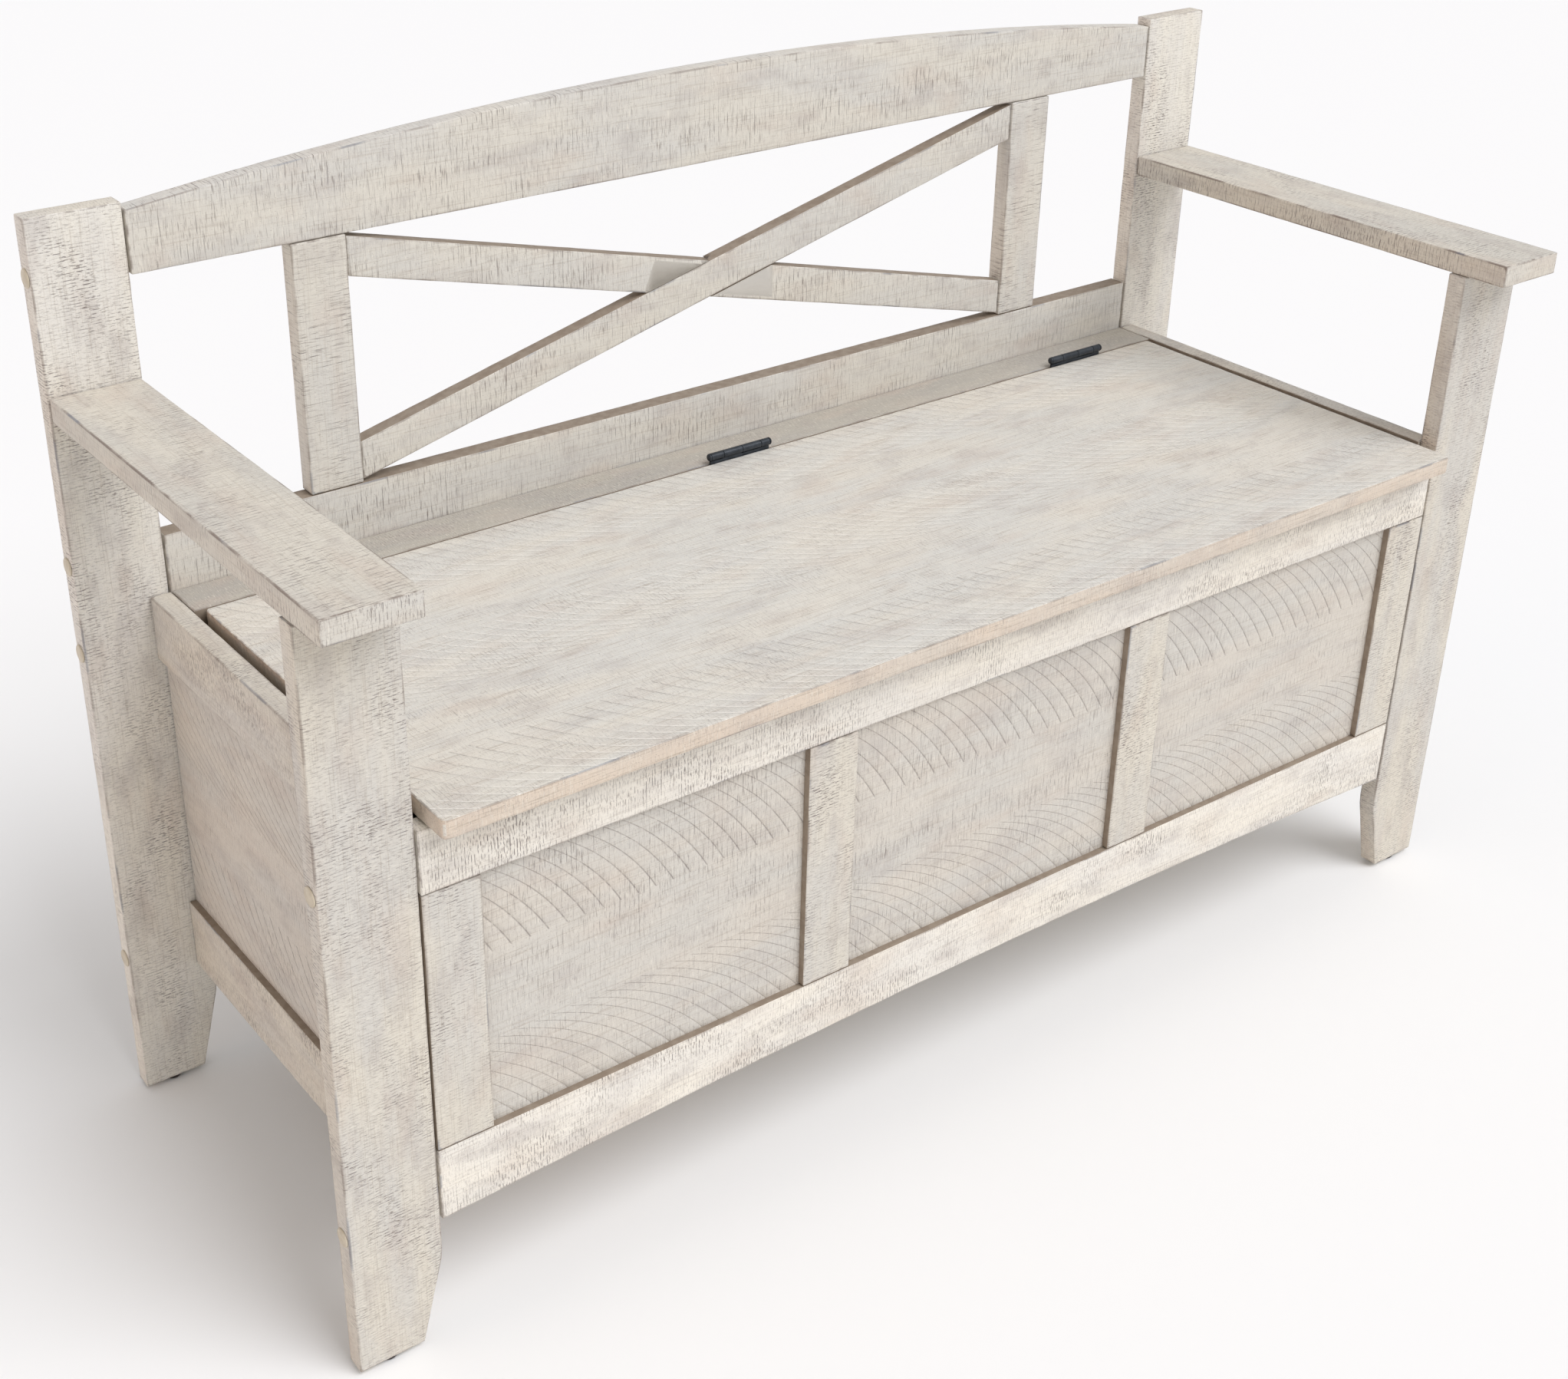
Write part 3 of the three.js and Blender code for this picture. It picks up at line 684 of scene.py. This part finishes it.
def hinge_leaf(side, name):
    """One leaf of the middle hinge: 1 is fixed to the strip behind the lid, -1 to the lid."""
    low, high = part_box("hinge_leaf_fixed_centre" if side > 0 else "hinge_leaf_lid_centre")
    inner = HINGE_AXIS.y + side * LEAF_SPLIT / 2
    outer = inner + side * LEAF_THICKNESS
    across = (min(inner, outer), max(inner, outer))
    top = HINGE_AXIS.z - KNUCKLE_RADIUS - KNUCKLE_GAP
    leaf = leaf_plate(name, (low.x, across[0], low.z), (high.x, across[1], top))
    for start, end in leaf_knuckles(side, low.x, high.x):
        add_knuckle(leaf, start, end, across, top)
    for step in (-1, 0, 1):
        at = Vector(((low.x + high.x) / 2 + step * SCREW_PITCH, inner, (low.z + top) / 2))
        join(leaf, turned("screw", at, Vector((0, side, 0)), SCREW, steps=20))
    pick(leaf)
    smooth(35)
    return leaf


def leaf_plate(name, low, high):
    """The flat plate of a leaf, with round lower corners."""
    leaf = block(name, low, high)
    edit(leaf)

    def is_low_corner(edge):
        a, b = (leaf.data.vertices[i].co for i in edge.vertices)
        return abs(a.y - b.y) > LEAF_THICKNESS / 2 and a.z < low[Z] + MM

    select(leaf, "edges", is_low_corner)
    bpy.ops.mesh.bevel(offset=LEAF_CORNER, segments=6, affect="EDGES")
    bpy.ops.mesh.select_all(action="DESELECT")
    bpy.ops.mesh.edges_select_sharp(sharpness=SHARP)
    bpy.ops.mesh.bevel(offset=LEAF_EDGE, segments=2, affect="EDGES")
    close_edit()
    return leaf


def leaf_knuckles(side, low, high):
    """The stretches of the barrel that belong to this leaf: the leaves take turns along it."""
    ends = [low + share * (high - low) for share in (0, *KNUCKLE_JOINTS, 1)]
    first = 0 if side > 0 else 1
    return [(a, b) for i, (a, b) in enumerate(zip(ends, ends[1:])) if i % 2 == first]


def add_knuckle(leaf, start, end, across, top):
    """A bored knuckle on the hinge's axis, and the tab that joins it to the plate."""
    start += KNUCKLE_GAP / 2
    end -= KNUCKLE_GAP / 2
    shoulder = KNUCKLE_RADIUS - KNUCKLE_EDGE
    ring = [(KNUCKLE_BORE, 0), (shoulder, 0), (KNUCKLE_RADIUS, KNUCKLE_EDGE),
            (KNUCKLE_RADIUS, end - start - KNUCKLE_EDGE), (shoulder, end - start),
            (KNUCKLE_BORE, end - start), (KNUCKLE_BORE, 0)]
    join(leaf, turned("knuckle", Vector((start, HINGE_AXIS.y, HINGE_AXIS.z)), RIGHT, ring))
    join(leaf, block("tab", (start + TAB_INSET, across[0] + TAB_INSET, top - MM),
                     (end - TAB_INSET, across[1] - TAB_INSET, HINGE_AXIS.z - TAB_TOP)))


def hinge_pin(name):
    """The pin of the middle hinge, with a domed head at each end."""
    low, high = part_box("hinge_pin_centre")
    length = high.x - low.x
    tip = 2.5 * MM
    dome = [(KNUCKLE_RADIUS * math.sin(a), tip * (1 - math.cos(a)) * 0.9)
            for a in (math.radians(d) for d in (0, 25, 50, 70, 85))]
    profile = dome + [(KNUCKLE_RADIUS, tip), (PIN_RADIUS, tip)]
    profile += [(r, length - a) for r, a in reversed(profile)]
    piece = turned(name, Vector((low.x, HINGE_AXIS.y, HINGE_AXIS.z)), RIGHT, profile)
    smooth(50)
    return piece


def hinges(material):
    """The middle hinge is modelled, and copied to the ends."""
    kinds = {
        "hinge_leaf_fixed": hinge_leaf(1, "leaf_fixed"),
        "hinge_leaf_lid": hinge_leaf(-1, "leaf_lid"),
        "hinge_pin": hinge_pin("pin"),
    }
    for kind, model in kinds.items():
        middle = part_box(kind + "_centre")[0]
        for place in ("left", "centre", "right"):
            node = f"{kind}_{place}"
            piece = model.copy()
            piece.data = model.data.copy()
            piece.name = piece.data.name = node + "_steel"
            bpy.context.scene.collection.objects.link(piece)
            piece.data.transform(Matrix.Translation(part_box(node)[0] - middle))
            stands_for(piece, material, node)
        bpy.data.objects.remove(model)


# ---------------------------------------------------------------- finishes

def rgb(code):
    """An sRGB hex colour as linear RGBA."""
    parts = [int(code[i:i + 2], 16) / 255 for i in (1, 3, 5)]
    return [p / 12.92 if p <= 0.04045 else ((p + 0.055) / 1.055) ** 2.4 for p in parts] + [1]


def add(tree, kind, inputs=None, **settings):
    """Adds a shader node with its settings. An input is a value or another node's output."""
    node = tree.nodes.new("ShaderNode" + kind)
    for name, value in settings.items():
        setattr(node, name, value)
    for socket, value in (inputs or {}).items():
        if isinstance(value, bpy.types.NodeSocket):
            tree.links.new(value, node.inputs[socket])
        else:
            node.inputs[socket].default_value = value
    return node


def finish(name):
    """A new material: its node tree, and the surface shader that its nodes feed."""
    material = bpy.data.materials.new(name)
    material.use_nodes = True
    return material, material.node_tree, material.node_tree.nodes["Principled BSDF"]


def blotches(tree, place, along, across, low, high, detail=2):
    """Noise of a real size in mm along and across the board: 0 below low and 1 above high."""
    scale = (1000 / along, 1000 / across, 1000 / across)
    stretched = add(tree, "VectorMath", {0: place, 1: scale}, operation="MULTIPLY").outputs[0]
    noise = add(tree, "TexNoise", {"Vector": stretched, "Scale": 1, "Detail": detail}).outputs[0]
    levels = {"Value": noise, "From Min": low, "From Max": high}
    return add(tree, "MapRange", levels, interpolation_type="SMOOTHSTEP").outputs[0]


def times(tree, a, b):
    """The product of two masks."""
    return add(tree, "Math", {0: a, 1: b}, operation="MULTIPLY").outputs[0]


def lay(tree, under, mask, strength, colour):
    """A colour laid over another one where the mask is, as strongly as it says."""
    return add(tree, "Mix", {0: times(tree, mask, strength), 6: under, 7: rgb(colour)},
               data_type="RGBA").outputs[2]


def height_sum(tree, layers):
    """Adds up relief from (mask, height in mm)."""
    total = 0.0
    for mask, height in layers:
        total = add(tree, "Math", {0: mask, 1: height, 2: total}, operation="MULTIPLY_ADD").outputs[0]
    return total


# Turns the pattern's X to the length of the board.
ALONG = {X: (0, 0, 0), Y: (0, 0, -math.pi / 2), Z: (0, math.pi / 2, 0)}

# How strong each effect of a finish is. saw is the pitch of the saw marks and dash their length
# across the board, in mm.
FRAME_WASH = dict(warm="#dad2c3", cool="#d1ccc3", grain=0.28, marks=1.0, smudge=0.33, pits=0.35,
                  chalk_and_highlight=0.42, saw=2.6, dash=4.5, edge=0.55, roughness=(0.56, 0.74))
# The rear posts: a lighter copy of the frame wash, painted light for the extra light on the upper parts.
POST_WASH_LIT = {**FRAME_WASH, "warm": "#eae4d7", "cool": "#e4dfd6"}
# The front rails: a lighter copy of the frame wash, painted light that lifts the shadow the seat casts on the top
# rail.
RAIL_WASH_LIT = {**FRAME_WASH, "warm": "#f1e9db", "cool": "#ebe5db"}
BACK_WASH = {**FRAME_WASH, "warm": "#dad4c8", "cool": "#d4d0c8", "marks": 0.9, "saw": 5.0, "dash": 11}
ARM_WASH = {**FRAME_WASH, "warm": "#d7d0c2", "cool": "#cfcabf", "saw": 3.8, "dash": 7, "edge": 0.8}
# The strip behind the seat: a darker copy of the frame wash, painted shade for the shadow it lies in behind the
# seat.
STRIP_SHADE_WASH = {**FRAME_WASH, "warm": "#bbb5a9", "cool": "#b3aea5", "marks": 0.5}
SEAT_WASH = dict(warm="#dfd9cd", cool="#d9d6ce", grain=0.50, marks=0.34, smudge=0.28, pits=0.50,
                 chalk_and_highlight=0.38, saw=3.4, dash=5, edge=0.55, roughness=(0.46, 0.62))
SEAT_EDGE_WASH = {**SEAT_WASH, "warm": "#dccbb8", "cool": "#d6cabb", "edge": 0.45}
PANEL_WASH = dict(warm="#d4ccc0", cool="#cfcac1", grain=0.32, marks=0.65, smudge=0.28, pits=0.35,
                  chalk_and_highlight=0.36, saw=4.5, dash=9, edge=0.3, roughness=(0.54, 0.7))
SAW_WIDTH = 0.9  # mm
ARC_WASH = "#6f6461"


def saw_marks(tree, place, pitch):
    """Lines across the board at the pitch of a frame saw in mm, a little uneven: 0 to 1."""
    bend = 70  # mm, over which a line wanders
    scale = (math.pi / 10 * 1000 / pitch, 1000 / bend, 1000 / bend)
    stretched = add(tree, "VectorMath", {0: place, 1: scale}, operation="MULTIPLY").outputs[0]
    wave = {"Vector": stretched, "Scale": 1, "Distortion": 3, "Detail": 1}
    return add(tree, "TexWave", wave).outputs["Fac"]


def whitewash(name, turn, look, arcs=0.0, white_wash_and_highlight_arcs=0.0):
    """Rough-sawn softwood under a thin whitewash: chalky and matt, with a grey-mauve wash left in
    the saw marks across the grain, brown grain showing along it, edges rubbed down to the brown wood, and painted
    highlight on pale ridges and arcs."""
    material, tree, shader = finish(name)
    coords = add(tree, "TexCoord").outputs["Object"]
    turned_coords = add(tree, "Mapping", {"Vector": coords, "Rotation": turn}).outputs[0]
    number = add(tree, "Attribute", attribute_name="board").outputs["Fac"]
    place = add(tree, "VectorMath", {0: turned_coords, 1: number}, operation="ADD").outputs[0]
    colour, smudge = wash_ground(tree, place, look)
    colour, relief = sawn_surface(tree, place, look, colour)
    if arcs:
        colour = arc_wash(tree, place, colour, arcs, white_wash_and_highlight_arcs)
    colour = rub_edges(tree, place, look, colour)
    height = height_sum(tree, relief)
    bump = add(tree, "Bump", {"Height": height, "Distance": MM, "Strength": 1.0}).outputs[0]
    low, high = look["roughness"]
    rough = add(tree, "MapRange", {"Value": smudge, "To Min": low, "To Max": high}).outputs[0]
    tree.links.new(colour, shader.inputs["Base Color"])
    tree.links.new(rough, shader.inputs["Roughness"])
    tree.links.new(bump, shader.inputs["Normal"])
    shader.inputs["IOR"].default_value = 1.48
    return material


def wash_ground(tree, place, look):
    """The wash itself, warmer in some places and smudged with grey-mauve in others."""
    warmth = blotches(tree, place, 150, 40, 0.35, 0.65)
    colour = add(tree, "Mix", {0: warmth, 6: rgb(look["warm"]), 7: rgb(look["cool"])},
                 data_type="RGBA").outputs[2]
    smudge = blotches(tree, place, 48, 22, 0.48, 0.72, 4)
    colour = lay(tree, colour, smudge, look["smudge"], "#aca39f")
    rosy = blotches(tree, place, 75, 30, 0.5, 0.75, 3)
    return lay(tree, colour, rosy, look["smudge"], "#c9b7a8"), smudge


def sawn_surface(tree, place, look, colour):
    """Grain, saw marks, chalky ridges with painted highlight, and pores: the colour with them, and their relief in
    mm.
    """
    # Fine brown grain along the board.
    grain = blotches(tree, place, 38, 0.9, 0.5, 0.72, 3)
    colour = lay(tree, colour, grain, look["grain"], "#a39482")
    # Saw marks: thin lines across the board, broken into dashes that come in loose clusters.
    comb = saw_marks(tree, place, look["saw"])
    start = (1 + math.cos(math.pi * SAW_WIDTH / look["saw"])) / 2
    lines = add(tree, "MapRange", {"Value": comb, "From Min": start}).outputs[0]
    wide = blotches(tree, place, 70, 34, 0.42, 0.72, 3)
    cluster = add(tree, "MapRange", {"Value": wide, "To Min": 0.30}).outputs[0]
    dash = blotches(tree, place, 2.2, look["dash"], 0.44, 0.60, 3)
    marks = times(tree, times(tree, lines, dash), cluster)
    colour = lay(tree, colour, marks, look["marks"], "#5f5456")
    fine = blotches(tree, place, 0.7, look["dash"], 0.53, 0.71, 2)
    colour = lay(tree, colour, times(tree, fine, cluster), look["marks"] * 0.9, "#7d7068")
    # Pale ridges between the saw marks: chalky wash, and painted highlight where they catch the light.
    ridges = blotches(tree, place, 0.9, 7, 0.55, 0.72, 2)
    colour = lay(tree, colour, ridges, look["chalk_and_highlight"], "#efe8da")
    # Pores.
    pits = blotches(tree, place, 1.2, 0.8, 0.66, 0.74, 1)
    colour = lay(tree, colour, pits, look["pits"], "#7d6f65")
    return colour, [(marks, -0.12), (fine, -0.08), (ridges, 0.08), (grain, -0.05), (pits, -0.08),
                    (lines, -0.02)]


def arc_wash(tree, place, colour, arcs, white_wash_and_highlight_arcs):
    """Wash in the arc-shaped saw cuts, broken here and there: dark, or pale with white wash and painted highlight
    where the cut walls catch the light.
    """
    kerf = add(tree, "Attribute", attribute_name="kerf").outputs["Fac"]
    ink = add(tree, "Attribute", attribute_name="ink").outputs["Fac"]
    broken = blotches(tree, place, 5, 5, 0.25, 0.55, 3)
    wide_kerf = add(tree, "Math", {0: kerf, 1: 0.5}, operation="POWER").outputs[0]
    line = times(tree, wide_kerf, broken)
    if not white_wash_and_highlight_arcs:
        return lay(tree, colour, times(tree, line, ink), arcs, ARC_WASH)
    ink = add(tree, "MapRange", {"Value": ink, "From Min": 0.62, "From Max": 0.9}).outputs[0]
    dark = times(tree, line, ink)
    pale = add(tree, "Math", {0: line, 1: dark}, operation="SUBTRACT").outputs[0]
    # Pale arcs: white wash, and painted highlight on the cut walls.
    colour = lay(tree, colour, pale, white_wash_and_highlight_arcs, "#efebe2")
    return lay(tree, colour, dark, arcs, ARC_WASH)


def rub_edges(tree, place, look, colour):
    """Worn edges: thin broken lines of brown wood rubbed clear of the wash, and some blue-grey wash."""
    worn = add(tree, "Attribute", attribute_name="worn").outputs["Fac"]
    edge = add(tree, "Math", {0: worn, 1: 5.0}, operation="POWER").outputs[0]
    rubbed = blotches(tree, place, 34, 9, 0.40, 0.64, 5)
    colour = lay(tree, colour, times(tree, edge, rubbed), look["edge"], "#77675d")
    stained = blotches(tree, place, 60, 30, 0.60, 0.66, 2)
    return lay(tree, colour, times(tree, edge, stained), look["edge"] * 0.8, "#747b88")


def plain_finish(name, colours, roughness, grain_mm, relief, metallic=0.0):
    """A moulded or lacquered finish: a little unevenness in its colour, gloss and surface."""
    material, tree, shader = finish(name)
    colour, tint = colours
    place = add(tree, "TexCoord").outputs["Object"]
    cloud = blotches(tree, place, 8, 8, 0.35, 0.65, 3)
    mottled = add(tree, "Mix", {0: cloud, 6: rgb(colour), 7: rgb(tint)},
                  data_type="RGBA").outputs[2]
    texture = blotches(tree, place, grain_mm, grain_mm, 0.3, 0.7, 1)
    bump = add(tree, "Bump", {"Height": times(tree, texture, relief), "Distance": MM}).outputs[0]
    low, high = roughness
    rough = add(tree, "MapRange", {"Value": texture, "To Min": low, "To Max": high}).outputs[0]
    tree.links.new(mottled, shader.inputs["Base Color"])
    tree.links.new(rough, shader.inputs["Roughness"])
    tree.links.new(bump, shader.inputs["Normal"])
    shader.inputs["Metallic"].default_value = metallic
    shader.inputs["IOR"].default_value = 1.5
    return material


# ---------------------------------------------------------------- the bench

def build_frame(wash):
    """The boards. Faces that meet another board have no wash but a brown stain. The faces that look into the gaps
    round the seat get the same brown as painted shade, for the dark in those gaps.
    """
    for side, out in (("left", -RIGHT), ("right", RIGHT)):
        post, leg = f"rear_post_{side}", f"front_leg_{side}"
        paint(board(post, Z, wash["post"], tapered(post)), X, UP, -UP)
        paint(board(leg, Z, wash[Z], tapered(leg)), X, UP, -UP)
        paint(board(f"arm_{side}", Y, wash["arm"]), X, FRONT, -FRONT)
        board(f"back_stile_{side}", Z, wash["back stile"])
        # The rail's inner face and underside get the brown finish as painted shade for the dark gap beside the
        # seat.
        paint(board(f"side_top_rail_{side}", Y, wash[Y]), "stain_and_gap_shade", -UP, -out)
        paint(board(f"side_bottom_rail_{side}", Y, wash[Y]), "stain_and_gap_shade", UP)
    board("crest_rail", X, wash["back"], crest_shape())
    paint(board("lower_back_rail", X, wash["back"]), "stain_and_gap_shade", UP)
    # The rail's underside and back face get the brown finish as painted shade for the dark under the seat's front.
    paint(board("front_top_rail", X, wash["rail"]), "stain_and_gap_shade", -UP, -FRONT)
    paint(board("front_bottom_rail", X, wash["rail"], bottom_rail_shape()), "stain_and_gap_shade", UP)
    board("rear_bottom_rail", X, wash[X])
    # The strip's front face, in the gap behind the seat, gets the brown finish as painted shade for the dark
    # there.
    paint(board("hinge_strip", X, wash["strip"]), "stain_and_gap_shade", FRONT)
    paint(crossed_bar("cross_bar_rising", True, wash["back"]), "stain_and_gap_shade", UP)
    paint(crossed_bar("cross_bar_falling", False, wash["back"]), "stain_and_gap_shade", UP)
    for place in ("left", "middle_left", "middle_right", "right"):
        stile(f"front_stile_{place}", wash[Z])
    for node in ("back_panel", "chest_floor"):
        board(node, X, wash["inner"])
    board("floor_brace", Y, wash["inner"])


def stile(node, material):
    """A front stile between the rails; its hidden tongues stay in the rails."""
    low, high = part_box(node)
    low.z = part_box("front_bottom_rail")[1].z + LAP_FIT
    high.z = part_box("front_top_rail")[0].z - LAP_FIT
    paint(board(node, Z, material, None, (low, high)), "stain_and_gap_shade", RIGHT, -RIGHT)


def build_panels(front, side):
    """Front panels read from the top down, and side panels from the bottom up, turned about."""
    for place in ("left", "centre", "right"):
        panel_sheet(f"front_panel_{place}", (RIGHT, -UP, FRONT), front)
    for place, out in (("left", -1), ("right", 1)):
        panel_sheet(f"side_panel_{place}", (out * FRONT, UP, out * RIGHT), side)


def build_small_pieces():
    # Moulded caps in the paint's colour: satin, a little warmer than the wood beside them.
    cover = plain_finish("satin polypropylene screw cover", ("#cfc4ae", "#c4b8a1"), (0.32, 0.45), 0.8, 0.02)
    # Pressed steel under black lacquer: a soft blue-black shine.
    steel = plain_finish("black lacquered steel", ("#2b3036", "#3a3f45"), (0.34, 0.5), 0.5, 0.02, 0.35)
    # Moulded feet: dark, with a dull shine.
    nylon = plain_finish("dark brown moulded nylon", ("#2a201b", "#352a24"), (0.35, 0.5), 0.6, 0.02)
    # Stick-on dots: nearly white and glossy.
    rubber = plain_finish("clear soft polyurethane", ("#d6d4cc", "#cfccc2"), (0.25, 0.4), 0.6, 0.01)
    for node in frame["nodes"]:
        if "_bolt_" in node:
            bolt_cover(node, cover)
        elif node.startswith("glide"):
            glide(node, nylon)
        elif node.startswith("lid_bumper"):
            bumper(node, rubber)
    hinges(steel)


def build_stage():
    deselect_all()
    bpy.ops.mesh.primitive_plane_add(size=FLOOR_SIZE, location=(0, 0, 0))
    floor = bpy.context.object
    floor.name = "floor"
    floor_paint, tree, shader = finish("pale matt studio floor")
    shader.inputs["Base Color"].default_value = rgb("#f4f3f1")
    shader.inputs["Roughness"].default_value = 0.9
    floor.data.materials.append(floor_paint)
    world = bpy.data.worlds.new("studio")
    bpy.context.scene.world = world
    world.use_nodes = True
    sky = world.node_tree.nodes["Background"]
    sky.inputs["Color"].default_value = rgb("#fdfdff")
    sky.inputs["Strength"].default_value = SKY_STRENGTH
    soft_light("key", *KEY_LIGHT)
    soft_light("warm fill", *WARM_FILL)
    bpy.context.scene.view_settings.view_transform = "Standard"


def soft_light(name, came_from, strength, colour):
    """A broad, even light from far away."""
    lamp = bpy.data.lights.new(name, "SUN")
    lamp.energy = strength
    lamp.angle = LIGHT_SPREAD
    lamp.color = rgb(colour)[:3]
    light = bpy.data.objects.new(name, lamp)
    light.rotation_euler = Vector(came_from).to_track_quat("Z", "Y").to_euler()
    bpy.context.scene.collection.objects.link(light)


def build_camera():
    data = bpy.data.cameras.new("camera")
    data.lens = CAMERA_LENS
    data.sensor_width = CAMERA_SENSOR
    data.shift_x, data.shift_y = CAMERA_SHIFT
    camera = bpy.data.objects.new("camera", data)
    turn = (Matrix.Rotation(math.radians(CAMERA_AZIMUTH), 3, "Z")
            @ Matrix.Rotation(math.radians(90 - CAMERA_ELEVATION), 3, "X")
            @ Matrix.Rotation(math.radians(CAMERA_ROLL), 3, "Z"))
    camera.rotation_euler = turn.to_euler()
    camera.location = CAMERA_TARGET + turn @ Vector((0, 0, CAMERA_DISTANCE))
    bpy.context.scene.collection.objects.link(camera)
    bpy.context.scene.camera = camera


build_camera()
build_stage()
finishes = {
    # Cut edges of fibreboard that only got stain: brown, dull and a little fuzzy. The same brown is painted shade
    # on the faces that look into the gaps round the seat.
    "stain_and_gap_shade": plain_finish("brown stain and painted gap shade", ("#968878", "#8a7b6b"), (0.6, 0.75), 1.5, 0.03),
    # Sawn pine under whitewash, for boards that lie along each axis.
    X: whitewash("whitewashed sawn pine, grain along X", ALONG[X], FRAME_WASH),
    Y: whitewash("whitewashed sawn pine, grain along Y", ALONG[Y], FRAME_WASH),
    Z: whitewash("whitewashed sawn pine, grain along Z", ALONG[Z], FRAME_WASH),
    "back": whitewash("whitewashed sawn pine, coarse saw marks", ALONG[X], BACK_WASH),
    "back stile": whitewash("whitewashed sawn pine, coarse saw marks, upright", ALONG[Z], BACK_WASH),
    "arm": whitewash("whitewashed sawn pine, armrest", ALONG[Y], ARM_WASH),
    "post": whitewash("whitewashed sawn pine, rear posts", ALONG[Z], POST_WASH_LIT),
    "rail": whitewash("whitewashed sawn pine, front rails", ALONG[X], RAIL_WASH_LIT),
    "seat edge": whitewash("thinly washed edge of the seat", ALONG[X], SEAT_EDGE_WASH),
    "strip": whitewash("whitewash darkened as painted shade, strip behind the seat", ALONG[X], STRIP_SHADE_WASH),
    "inner": whitewash("whitewashed board inside the chest", ALONG[X], PANEL_WASH),
}
build_frame(finishes)
build_panels(whitewash("whitewashed front panel with saw arcs", ALONG[X], PANEL_WASH, arcs=0.6),
             whitewash("whitewashed side panel with saw arcs", ALONG[Y], PANEL_WASH, arcs=1.0))
lid_board(whitewash("whitewashed seat with saw arcs", ALONG[X], SEAT_WASH, arcs=0.45, white_wash_and_highlight_arcs=0.85))
build_small_pieces()
